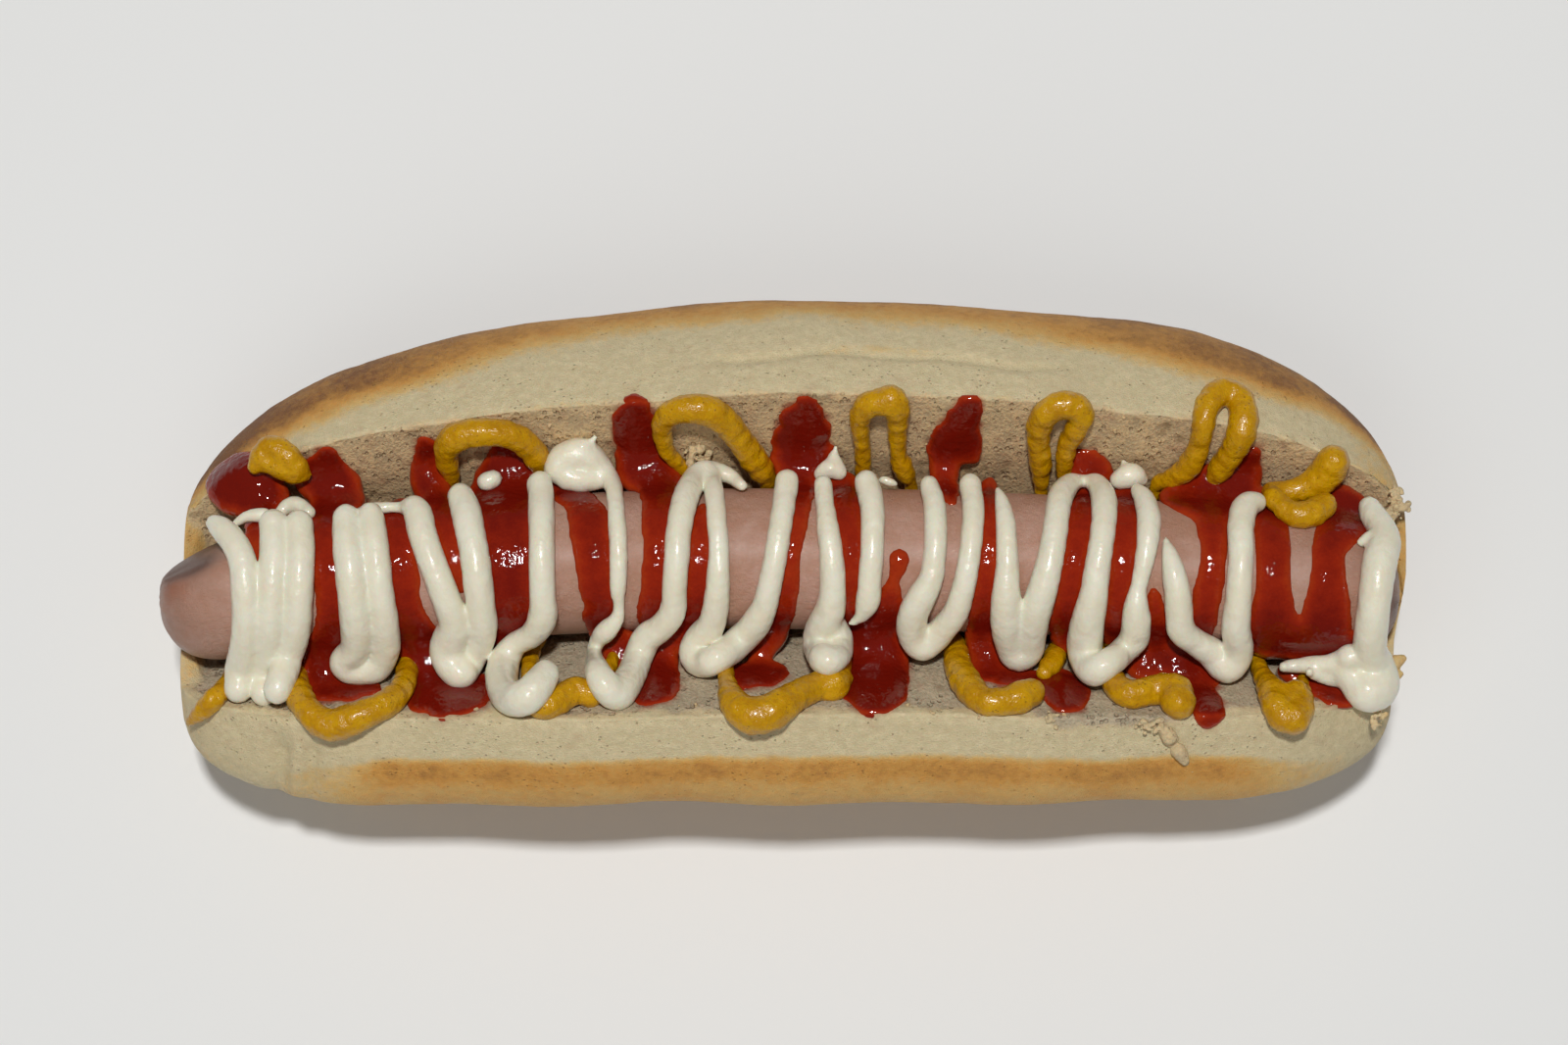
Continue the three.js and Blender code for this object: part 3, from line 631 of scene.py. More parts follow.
class Patterns:
    """Shader groups that several of the finishes use."""

    MOTTLING_FINER: Final = 5.3  # how many times finer its small lumps are
    HOLE_EDGE: Final = 0.12  # how soft a hole's edge is, in cells
    GRAIN_FINER: Final = 4.0  # how many times finer a sauce's grains are than its swells

    def __init__(self) -> None:
        """Builds each group once."""
        self.mottling = self._mottling()
        self.pores = self._pores()
        self.wet = self._wet()

    @staticmethod
    def _mottling() -> bpy.types.NodeTree:
        """Builds the group for uneven light and dark at two sizes, from 0 to 1.

        Returns:
            The group.
        """
        wire, given, out = new_group(
            "Mottling", "Shader", {"Vector": "Vector", "Scale": "Float", "Fine Share": "Float"},
            {"Value": "Float"})
        coarse = wire.noise(given["Vector"], given["Scale"], detail=3.0, roughness=0.55)
        fine_scale = wire.times(given["Scale"], Patterns.MOTTLING_FINER)
        fine = wire.noise(given["Vector"], fine_scale, detail=2.0, roughness=0.6)
        mixed = wire.first("ShaderNodeMix", {0: given["Fine Share"], 2: coarse, 3: fine})
        wire.feed(out["Value"], wire.mask(mixed, 0.3, 0.7))
        return wire.tree

    @staticmethod
    def _pores() -> bpy.types.NodeTree:
        """Builds the group for small round holes, 1 in a hole and 0 between them.

        Returns:
            The group.
        """
        wire, given, out = new_group(
            "Pores", "Shader", {"Vector": "Vector", "Scale": "Float", "Size": "Float"}, {"Hole": "Float"})
        bent = wire.add("ShaderNodeTexNoise", {"Vector": given["Vector"], "Scale": 900.0}).outputs["Color"]
        shift = wire.first("ShaderNodeVectorMath", {0: bent, "Scale": 0.0005}, operation="SCALE")
        place = wire.first("ShaderNodeVectorMath", {0: given["Vector"], 1: shift})
        feeds = {"Vector": place, "Scale": given["Scale"], "Randomness": 0.9}
        distance = wire.add("ShaderNodeTexVoronoi", feeds).outputs["Distance"]
        chance = wire.noise(given["Vector"], scale=300.0, detail=1.0)
        size = wire.times(given["Size"], wire.mask(chance, 0.3, 0.65))
        inside = wire.math("SUBTRACT", size, distance)
        wire.feed(out["Hole"], wire.math("DIVIDE", inside, Patterns.HOLE_EDGE, True))
        return wire.tree

    @staticmethod
    def _wet() -> bpy.types.NodeTree:
        """Builds the group for the small swells and grains of a thick sauce, from 0 to 1.

        Returns:
            The group.
        """
        wire, given, out = new_group(
            "Wet Ripple", "Shader", {"Vector": "Vector", "Scale": "Float", "Grain": "Float"},
            {"Height": "Float"})
        swell = wire.noise(given["Vector"], given["Scale"], detail=1.0, roughness=0.4)
        grain_scale = wire.times(given["Scale"], Patterns.GRAIN_FINER)
        grain = wire.noise(given["Vector"], grain_scale, detail=1.0)
        wire.feed(out["Height"], wire.math("ADD", swell, wire.times(grain, given["Grain"])))
        return wire.tree


# ---- Finishes ----


@dataclass(frozen=True)
class Surface:
    """A material in the making, as a finish paints it."""

    wire: Wiring
    shader: bpy.types.Node
    patterns: Patterns
    place: Socket  # Object coordinates

    def group(self, tree: bpy.types.NodeTree, feeds: Mapping[str, Feed]) -> Socket:
        """Places a shared group in the material and returns its first output."""
        return self.wire.first("ShaderNodeGroup", {"Vector": self.place, **feeds}, node_tree=tree)

    def mottling(self, scale: float, fine: float, **place: Socket) -> Socket:
        """Uneven light and dark, from 0 to 1, on the surface or at the given Vector."""
        return self.group(self.patterns.mottling, {"Scale": scale, "Fine Share": fine, **place})

    def pores(self, scale: float, size: float, **place: Socket) -> Socket:
        """Round holes, 1 in a hole, on the surface or at the given Vector."""
        return self.group(self.patterns.pores, {"Scale": scale, "Size": size, **place})

    def colour(self, colour: Feed) -> None:
        """Gives the surface its colour."""
        self.wire.feed(self.shader.inputs["Base Color"], colour)

    def relief(self, height: Socket, depth: float) -> None:
        """Turns a height into the surface's relief, depth metres deep."""
        bump = self.wire.first("ShaderNodeBump", {"Height": height, "Distance": depth})
        self.wire.feed(self.shader.inputs["Normal"], bump)

    def wet_relief(self, scale: float, grain: float, depth: float) -> None:
        """Gives the surface the small swells and grains of a sauce, depth metres deep."""
        self.relief(self.group(self.patterns.wet, {"Scale": scale, "Grain": grain}), depth)


@dataclass(frozen=True)
class Finish:
    """What every finish has: a name and how its surface takes light."""

    name: str
    roughness: float
    coat: float = 0.0
    coat_roughness: float = 0.1
    glow_through: float = 0.0  # share of the light that travels under the surface
    glow_depth: float = 0.001  # metres
    shine: float = 0.5
    bending: float = 1.42  # how much the surface bends light

    def material(self, patterns: Patterns) -> bpy.types.Material:
        """Makes the finish's material.

        Args:
            patterns: The shared shader groups.

        Returns:
            The material.
        """
        made = bpy.data.materials.new(self.name)
        made.use_nodes = True
        made.node_tree.nodes.clear()
        wire = Wiring(made.node_tree)
        shader = wire.add("ShaderNodeBsdfPrincipled", {
            "Roughness": self.roughness, "Coat Weight": self.coat, "Coat Roughness": self.coat_roughness,
            "Subsurface Weight": self.glow_through, "Subsurface Scale": self.glow_depth,
            "Specular IOR Level": self.shine, "IOR": self.bending})
        wire.add("ShaderNodeOutputMaterial", {"Surface": shader.outputs[0]})
        place = wire.add("ShaderNodeTexCoord").outputs["Object"]
        self.paint(Surface(wire, shader, patterns, place))
        return made

    def paint(self, surface: Surface) -> None:
        """Gives a surface its colour and relief."""
        raise NotImplementedError


@dataclass(frozen=True)
class BakedBread(Finish):
    """Soft pale crust that goes golden and brown, and the open crumb inside it."""

    pale: Colour = srgb(218, 202, 162)
    tan: Colour = srgb(222, 182, 112)
    golden: Colour = srgb(212, 154, 74)
    brown: Colour = srgb(132, 86, 44)
    crumb: Colour = srgb(202, 178, 143)
    # greyer tone painted on the near half's crumb as painted shade
    shaded_crumb: Colour = srgb(184, 170, 146)
    shadow: Colour = srgb(112, 82, 54)
    stained: Colour = srgb(146, 50, 24)
    crust_grain: tuple[Colour, Colour] = ((0.84, 0.82, 0.77, 1.0), (1.04, 1.04, 1.05, 1.0))
    crumb_grain: tuple[Colour, Colour] = ((0.78, 0.76, 0.71, 1.0), (1.16, 1.15, 1.12, 1.0))
    stretch: tuple[float, float, float] = (1.0, 1.0, 0.5)  # draws the crumb's pattern out upwards

    def paint(self, surface: Surface) -> None:
        """Paints the crust by how far it is baked, and the crumb with its holes, with painted shade in the
        holes, deep in the groove and on the near half's crumb.

        Args:
            surface: The material in the making.
        """
        wire = surface.wire
        speckle = surface.mottling(scale=900.0, fine=0.5)
        uneven, fine = wire.swing(surface.mottling(scale=160.0, fine=0.45), 0.2), wire.swing(speckle, 0.16)
        bake = wire.math("ADD", wire.math("ADD", wire.attribute("bake"), uneven), fine, True)
        crust = wire.ramp(bake, [(0.0, self.pale), (0.1, self.pale), (0.4, self.tan), (0.68, self.golden),
                                 (1.0, self.brown)])
        crust = wire.mix(1.0, crust, wire.ramp(speckle, list(enumerate(self.crust_grain))), "MULTIPLY")
        pinholes = surface.pores(scale=1100.0, size=0.22)
        crust = wire.mix(wire.times(pinholes, 0.2), crust, self.shadow)
        tall = wire.first("ShaderNodeVectorMath", {0: surface.place, 1: self.stretch}, operation="MULTIPLY")
        holes = surface.pores(scale=1000.0, size=0.4, Vector=tall)
        strands = surface.mottling(scale=420.0, fine=0.6, Vector=tall)
        inside = wire.mix(wire.times(strands, 0.3), self.crumb, self.tan)
        # Painted shade: the near half's crumb is mixed towards a greyer tone.
        inside = wire.mix(wire.times(wire.attribute("near"), 0.95), inside, self.shaded_crumb)
        inside = wire.mix(1.0, inside, wire.ramp(strands, list(enumerate(self.crumb_grain))), "MULTIPLY")
        # Painted shade in the crumb's holes and deep down in the groove.
        crumb_shade = wire.math("MAXIMUM", wire.times(holes, 0.45), wire.attribute("deep"))
        inside = wire.mix(wire.times(crumb_shade, 0.5), inside, self.shadow)
        open_crumb = wire.attribute("crumb")
        colour = wire.mix(open_crumb, crust, inside)
        surface.colour(wire.mix(wire.times(wire.attribute("stain"), 0.85), colour, self.stained))
        rough = wire.math("ADD", self.roughness, wire.times(open_crumb, 0.3))
        wire.feed(surface.shader.inputs["Roughness"], rough)
        skin_height = wire.times(wire.math("SUBTRACT", wire.times(speckle, 0.6), pinholes), 0.35)
        crumb_height = wire.math("SUBTRACT", wire.times(strands, 0.3), wire.times(holes, 0.5))
        height = wire.first("ShaderNodeMix", {0: open_crumb, 2: skin_height, 3: crumb_height})
        surface.relief(height, depth=0.0005)


@dataclass(frozen=True)
class CookedSkin(Finish):
    """Smooth pinkish-tan casing, moist and a little browned."""

    light: Colour = srgb(200, 160, 142)
    deep: Colour = srgb(184, 138, 114)
    browned: Colour = srgb(172, 96, 56)
    # dark brown of the tips, used as painted shade on the left tip's flat slope
    tip: Colour = srgb(96, 60, 42)

    def paint(self, surface: Surface) -> None:
        """Paints soft mottling, the darker tips with painted shade on the left tip's flat slope, and the
        browned patches.

        Args:
            surface: The material in the making.
        """
        wire = surface.wire
        colour = wire.mix(surface.mottling(scale=120.0, fine=0.35), self.deep, self.light)
        colour = wire.mix(wire.attribute("tip"), colour, self.tip)
        colour = wire.mix(wire.times(wire.attribute("browned"), 0.85), colour, self.browned)
        grain = surface.mottling(scale=1800.0, fine=0.4)
        surface.colour(wire.mix(wire.times(grain, 0.12), colour, self.browned))
        surface.relief(grain, depth=0.00013)


@dataclass(frozen=True)
class MustardSauce(Finish):
    """Ochre sauce with fine dark specks."""

    thick: Colour = srgb(206, 155, 2)
    thin: Colour = srgb(180, 126, 0)
    speck: Colour = srgb(104, 62, 12)

    def paint(self, surface: Surface) -> None:
        """Paints the specks and the grainy surface.

        Args:
            surface: The material in the making.
        """
        wire = surface.wire
        colour = wire.mix(surface.mottling(scale=300.0, fine=0.4), self.thin, self.thick)
        specks = surface.pores(scale=1300.0, size=0.24)
        surface.colour(wire.mix(wire.times(specks, 0.6), colour, self.speck))
        surface.wet_relief(scale=900.0, grain=0.5, depth=0.00022)


@dataclass(frozen=True)
class KetchupSauce(Finish):
    """Glossy red sauce, orange where it is a thin film and dark where it is deep."""

    film: Colour = srgb(158, 48, 14)
    middle: Colour = srgb(144, 34, 10)
    deep: Colour = srgb(113, 19, 7)

    def paint(self, surface: Surface) -> None:
        """Paints the sauce by its depth.

        Args:
            surface: The material in the making.
        """
        wire = surface.wire
        uneven = wire.swing(surface.mottling(scale=500.0, fine=0.4), 0.3)
        depth = wire.math("ADD", wire.attribute("depth"), uneven, True)
        surface.colour(wire.ramp(depth, [(0.0, self.film), (0.3, self.middle), (0.85, self.deep),
                                         (1.0, self.deep)]))
        surface.wet_relief(scale=1100.0, grain=0.1, depth=0.00015)


@dataclass(frozen=True)
class CreamSauce(Finish):
    """Thick ivory sauce with a soft shine."""

    light: Colour = srgb(234, 230, 210)
    warm: Colour = srgb(229, 222, 197)

    def paint(self, surface: Surface) -> None:
        """Paints the faintly uneven ivory.

        Args:
            surface: The material in the making.
        """
        cloud = surface.mottling(scale=220.0, fine=0.3)
        surface.colour(surface.wire.mix(cloud, self.warm, self.light))
        surface.wet_relief(scale=520.0, grain=0.3, depth=0.0002)


@dataclass(frozen=True)
class PaleFloor(Finish):
    """Plain pale floor."""

    plain: Colour = srgb(236, 236, 234)

    def paint(self, surface: Surface) -> None:
        """Paints the plain floor."""
        surface.colour(self.plain)


# ---- Meshes ----


def tell(mesh: bpy.types.Mesh, label: str, numbers: np.ndarray) -> None:
    """Gives a mesh one number a point under a name."""
    data = mesh.attributes.new(label, "FLOAT", "POINT").data
    data.foreach_set("value", numbers.astype(np.float32))


def mesh_of(name: str, points: np.ndarray, faces: Iterable,
            values: Mapping[str, np.ndarray]) -> bpy.types.Mesh:
    """Makes a smooth mesh.

    Args:
        name: The mesh's name.
        points: Places in millimetres, one a row.
        faces: Corner numbers of each face.
        values: One number a point under each attribute name.

    Returns:
        The mesh, in metres.
    """
    mesh = bpy.data.meshes.new(name)
    mesh.from_pydata((points * MM).tolist(), [], faces)
    for label, numbers in values.items():
        tell(mesh, label, numbers)
    if len(mesh.polygons):
        mesh.shade_smooth()
    return mesh


def points_of(mesh: bpy.types.Mesh) -> np.ndarray:
    """Reads a mesh's points.

    Args:
        mesh: The mesh, in metres.

    Returns:
        The points in millimetres, one a row.
    """
    flat = np.empty(len(mesh.vertices) * 3, np.float32)
    mesh.vertices.foreach_get("co", flat)
    return flat.reshape(-1, 3).astype(float) / MM


def piece_of(mesh: bpy.types.Mesh) -> bpy.types.Object:
    """Puts a mesh in the scene.

    Args:
        mesh: The mesh.

    Returns:
        An object of the mesh's name.
    """
    piece = bpy.data.objects.new(mesh.name, mesh)
    bpy.context.scene.collection.objects.link(piece)
    return piece


def dressed(piece: bpy.types.Object, slot: Slot, *nodes: str) -> bpy.types.Object:
    """Gives a piece its body and hides the solids that it stands for.

    Args:
        piece: The finished piece.
        slot: Not used.
        *nodes: Names of the solids that it replaces.

    Returns:
        The same piece.
    """
    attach(piece, BODY)
    if nodes:
        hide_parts(*nodes)
    LOG.info("%s: %d faces", piece.name, len(piece.data.polygons))
    return piece


def grow(piece: bpy.types.Object, tree: bpy.types.NodeTree, inputs: Mapping[str, object]) -> None:
    """Runs a geometry tree on a piece and keeps the plain mesh it makes.

    Args:
        piece: The piece, with the tree's source as its mesh.
        tree: The geometry tree.
        inputs: Values by the names of the tree's inputs.
    """
    modifier = piece.modifiers.new(tree.name, "NODES")
    modifier.node_group = tree
    sockets = {item.name: item.identifier for item in tree.interface.items_tree if item.in_out == "INPUT"}
    for name, value in inputs.items():
        modifier[sockets[name]] = value
    evaluated = piece.evaluated_get(bpy.context.evaluated_depsgraph_get())
    mesh = bpy.data.meshes.new_from_object(evaluated)
    mesh.name = piece.name
    piece.modifiers.remove(modifier)
    piece.data = mesh


SKIN_AT: Final = 0.12  # density at which a sauce's skin lies
CRUMB_TURN: Final = 3.1  # how far a loose crumb may be turned, in radians
CRUMB_ROUGHENING: Final = 0.0011  # metres that it is drawn out of round for each unit of noise


def squeezed_tree() -> bpy.types.NodeTree:
    """Builds the geometry tree that turns points with a radius into one smooth closed body of sauce.

    Returns:
        The tree.
    """
    wire, given, out = new_group(
        "squeezed sauce", "Geometry",
        {"Points": "Geometry", "Voxel": "Float", "Smoothing": "Int", "Lump Size": "Float",
         "Lump Height": "Float", "Seed": "Float", "Finish": "Material"}, {"Sauce": "Geometry"})
    size = wire.first("GeometryNodeInputNamedAttribute", {"Name": "bead"}, data_type="FLOAT")
    points = wire.first("GeometryNodeMeshToPoints", {"Mesh": given["Points"]})
    feeds = {"Points": points, "Voxel Size": given["Voxel"], "Radius": size}
    volume = wire.first("GeometryNodePointsToVolume", feeds, resolution_mode="VOXEL_SIZE")
    skin = wire.first("GeometryNodeVolumeToMesh", {"Volume": volume, "Threshold": SKIN_AT})
    place = wire.first("GeometryNodeInputPosition")
    feeds = {"Value": place, "Iterations": given["Smoothing"]}
    even = wire.first("GeometryNodeBlurAttribute", feeds, data_type="FLOAT_VECTOR")
    calm = wire.first("GeometryNodeSetPosition", {"Geometry": skin, "Position": even})
    scale = wire.math("DIVIDE", 1.0, given["Lump Size"])
    feeds = {"Vector": place, "W": given["Seed"], "Scale": scale, "Detail": 2.0}
    noise = wire.first("ShaderNodeTexNoise", feeds, noise_dimensions="4D")
    height = wire.times(wire.math("SUBTRACT", noise, 0.5), given["Lump Height"])
    normal = wire.first("GeometryNodeInputNormal")
    offset = wire.first("ShaderNodeVectorMath", {0: normal, "Scale": height}, operation="SCALE")
    lumpy = wire.first("GeometryNodeSetPosition", {"Geometry": calm, "Offset": offset})
    smooth = wire.first("GeometryNodeSetShadeSmooth", {"Geometry": lumpy})
    real = wire.first("GeometryNodeRealizeInstances", {"Geometry": smooth})
    feeds = {"Geometry": real, "Material": given["Finish"]}
    wire.feed(out["Sauce"], wire.first("GeometryNodeSetMaterial", feeds))
    return wire.tree


def scatter_tree() -> bpy.types.NodeTree:
    """Builds the geometry tree that strews small crumbs over a surface.

    Returns:
        The tree.
    """
    wire, given, out = new_group(
        "strewn crumbs", "Geometry",
        {"Surface": "Geometry", "Density": "Float", "Smallest": "Float", "Largest": "Float", "Seed": "Int",
         "Finish": "Material"}, {"Crumbs": "Geometry"})
    seed = given["Seed"]
    likely = wire.first("GeometryNodeInputNamedAttribute", {"Name": "strewn"}, data_type="FLOAT")
    feeds = {"Mesh": given["Surface"], "Density": wire.times(likely, given["Density"]), "Seed": seed}
    spots = wire.first("GeometryNodeDistributePointsOnFaces", feeds)
    ball = wire.first("GeometryNodeMeshIcoSphere", {"Radius": 1.0, "Subdivisions": 2})
    feeds = {0: (-CRUMB_TURN,) * 3, 1: (CRUMB_TURN,) * 3, "Seed": seed}
    turned = wire.first("FunctionNodeRandomValue", feeds, data_type="FLOAT_VECTOR")
    feeds = {2: given["Smallest"], 3: given["Largest"], "Seed": seed}
    size = wire.add("FunctionNodeRandomValue", feeds, data_type="FLOAT").outputs[1]
    feeds = {"Points": spots, "Instance": ball, "Rotation": turned, "Scale": size}
    crumbs = wire.first("GeometryNodeInstanceOnPoints", feeds)
    real = wire.first("GeometryNodeRealizeInstances", {"Geometry": crumbs})
    place = wire.first("GeometryNodeInputPosition")
    noise = wire.add("ShaderNodeTexNoise", {"Vector": place, "Scale": 1400.0, "Detail": 1.0})
    feeds = {0: noise.outputs["Color"], 1: (0.5, 0.5, 0.5)}
    centred = wire.first("ShaderNodeVectorMath", feeds, operation="SUBTRACT")
    offset = wire.first("ShaderNodeVectorMath", {0: centred, "Scale": CRUMB_ROUGHENING}, operation="SCALE")
    rough = wire.first("GeometryNodeSetPosition", {"Geometry": real, "Offset": offset})
    feeds = {"Geometry": wire.first("GeometryNodeSetShadeSmooth", {"Geometry": rough}),
             "Material": given["Finish"]}
    wire.feed(out["Crumbs"], wire.first("GeometryNodeSetMaterial", feeds))
    return wire.tree


@dataclass(frozen=True)
class Flow:
    """How a soft body flows together from its beads. Lengths are in millimetres."""

    tree: bpy.types.NodeTree
    finish: bpy.types.Material
    voxel: float
    smoothing: int
    lump_size: float
    lump_height: float
    seed: float

    def body(self, name: str, beads: np.ndarray) -> bpy.types.Object:
        """Turns beads into one closed body.

        Args:
            name: The piece's name.
            beads: Centres and radii, four numbers a row.

        Returns:
            The piece.
        """
        piece = piece_of(mesh_of(name, beads[:, :3], [], {"bead": beads[:, 3] * MM}))
        grow(piece, self.tree, {
            "Voxel": self.voxel * MM, "Smoothing": self.smoothing, "Lump Size": self.lump_size * MM,
            "Lump Height": self.lump_height * MM, "Seed": self.seed, "Finish": self.finish})
        return piece


def turn_of(ring: np.ndarray) -> float:
    """Twice the area that a ring goes round, above 0 if it turns from across to up."""
    return float(np.sum(ring[:, 1] * np.roll(ring[:, 2], -1) - np.roll(ring[:, 1], -1) * ring[:, 2]))


def loft(rings: np.ndarray) -> tuple[np.ndarray, list]:
    """Joins closed rings into a tube with a pole at each end.

    Args:
        rings: Points by ring, place on the ring and axis.

    Returns:
        All points, poles last, and the faces, turned outwards.
    """
    rows, count, _ = rings.shape
    points = np.vstack([rings.reshape(-1, 3), rings[0].mean(axis=0), rings[-1].mean(axis=0)])
    grid = np.arange(rows * count).reshape(rows, count)
    after = np.roll(grid, -1, axis=1)
    quads = np.stack([grid[:-1], after[:-1], after[1:], grid[1:]], axis=-1).reshape(-1, 4)
    first, last = rows * count, rows * count + 1
    start = [(first, b, a) for a, b in zip(grid[0], after[0])]
    end = [(last, a, b) for a, b in zip(grid[-1], after[-1])]
    faces = [tuple(q) for q in quads.tolist()] + start + end
    if turn_of(rings[rows // 2]) < 0:
        faces = [face[::-1] for face in faces]
    return points, faces


def grid_normals(rings: np.ndarray) -> np.ndarray:
    """Outward normals of a tube of rings.

    Args:
        rings: Points by ring, place on the ring and axis.

    Returns:
        A unit vector for each point.
    """
    along = np.gradient(rings, axis=0)
    around = np.roll(rings, -1, axis=1) - np.roll(rings, 1, axis=1)
    normals = np.cross(around, along)
    normals /= np.maximum(np.linalg.norm(normals, axis=2, keepdims=True), 1e-9)
    return normals if turn_of(rings[len(rings) // 2]) > 0 else -normals


# ---- The bun ----


TORN_STRETCH: Final = (0.55, 40.0)  # of the crumb's pattern down its torn faces, and between the halves


@dataclass
class BunSkin:
    """The bun's surface before its relief, in millimetres, with where each point lies on its section."""

    rings: np.ndarray  # points by section, place on the section and axis
    past: np.ndarray  # way past the cut edge along the section, negative in the crumb
    out: np.ndarray  # how far out from the cut face
    side: np.ndarray  # -1 on the near half and 1 on the far half
    cap_share: np.ndarray  # 1 on the open sections, down to 0 at the end of each closed end

    def __post_init__(self) -> None:
        """Works out how far along, up and to the far side of the axis each point lies."""
        self.flat = self.rings.reshape(-1, 3)
        self.x, _, self.up = self.flat.T
        self.across = self.flat[:, 1] - FORM.bow(self.x)
        self.from_middle = np.abs(self.x)
        self.torn = np.stack([self.x, TORN_STRETCH[0] * self.past, TORN_STRETCH[1] * self.side], axis=1)

    def by_ring(self, values: np.ndarray) -> np.ndarray:
        """One value a point, set out by section and place on it."""
        return values.reshape(self.rings.shape[:2])


@dataclass(frozen=True)
class Bake:
    """How far the bun's skin is baked, from 0 to 1. Lengths are in millimetres."""

    blotches: Layers = ((1.0, 9.0, 71), (0.4, 3.0, 72))
    near_wide: Spans = (-82.0, -58.0, 64.0, 86.0)  # where the near half's golden band runs
    near_upper: Spans = (-65.0, -58.0, 62.0, 72.0)  # where its upper part is darker
    band_start: float = 6.0  # out from the cut face
    band_later: float = 3.0  # how much further out it starts at the ends
    band_rise: float = 2.2
    band: float = 0.42
    band_upper: float = 0.24
    near_rest: float = 0.1
    near_ends: float = 0.15
    pale: float = 12.0  # how far out the far half's pale rim reaches in the middle
    less_pale: tuple[float, float] = (12.5, 7.8)  # how much less at the left end and at the right
    far_rise: float = 9.0
    far: float = 0.66
    far_ends: tuple[float, float] = (0.28, 0.22)  # how much more at the left end and at the right
    # browning of the far half's outermost edge, partly painted shade where the crown turns away from the
    # light
    far_edge_bake_and_shade: float = 0.28
    far_caps: float = 0.3
    rim: float = 0.16
    streak: float = 0.3  # the golden line along the far half's fold
    streak_out: float = 8.4
    streak_width: float = 0.9
    streak_spans: Spans = (-18.0, -10.0, 36.0, 46.0)
    base: float = 0.5

    def sides(self, skin: BunSkin) -> np.ndarray:
        """The bake of both halves and of the underside between them.

        Args:
            skin: The bun's surface.

        Returns:
            The bake of each point.
        """
        wander = layered(skin.flat, self.blotches)
        wide, upper = (within(spans, skin.x + 2 * wander) for spans in (self.near_wide, self.near_upper))
        start = self.band_start + self.band_later * (1.0 - wide)
        near = smoothstep(start, start + self.band_rise, skin.out + 0.35 * wander)
        near *= self.band * wide + self.band_upper * upper * smoothstep(13.0, 9.5, skin.out)
        near += self.near_rest * smoothstep(6.0, 12.0, skin.out)
        near += self.near_ends * smoothstep(84.0, 91.0, skin.from_middle)
        left = skin.x < 0
        towards_end = smoothstep(14.0, 80.0, np.abs(skin.x + 4.0))
        pale = self.pale - np.where(left, *self.less_pale) * towards_end
        far = smoothstep(pale, pale + self.far_rise, skin.out + 1.2 * wander)
        far *= self.far + np.where(left, *self.far_ends) * towards_end
        # The far half's outermost edge gets darker: partly its browning, partly painted shade where the crown
        # turns away from the light.
        far += self.far_edge_bake_and_shade * smoothstep(21.0, 28.0, skin.out + wander)
        streak = hump(self.streak_out + 0.9 * np.sin(skin.x / 9.0), self.streak_width, skin.out)
        streak *= smoothstep(0.0, 0.8, wander + 0.3) * within(self.streak_spans, skin.x)
        far += self.streak * streak + self.far_caps * smoothstep(76.0, 89.0, skin.from_middle)
        far += self.rim * smoothstep(1.4, 0.2, skin.past) * (0.6 + wander)
        base = self.base * smoothstep(14.0, 4.0, skin.up) * (skin.out > 12.0)
        far_share = np.where(skin.up < 8.0, smoothstep(-8.0, 8.0, skin.across), skin.side > 0.0)
        return np.clip(np.maximum(near + (far - near) * far_share, base), 0.0, 1.0)

    def of(self, skin: BunSkin, open_share: np.ndarray) -> np.ndarray:
        """The bake of the whole skin, with that of its closed ends.

        Args:
            skin: The bun's surface.
            open_share: 1 on the open sections and 0 on the closed ends.

        Returns:
            The bake of each point.
        """
        sides = self.sides(skin)
        near = 0.24 + 0.16 * smoothstep(16.0, 4.0, skin.up)
        far = 0.5 + 0.34 * smoothstep(28.0, 14.0, skin.up)
        far_share = smoothstep(-7.0, 13.0, skin.across + 1.5 * cloudy(skin.flat, 5.0, 75))
        low_end = smoothstep(74.0, 87.0, skin.from_middle) * smoothstep(26.0, 14.0, skin.up)
        return sides + np.maximum(1.0 - open_share, low_end) * (near + (far - near) * far_share - sides)


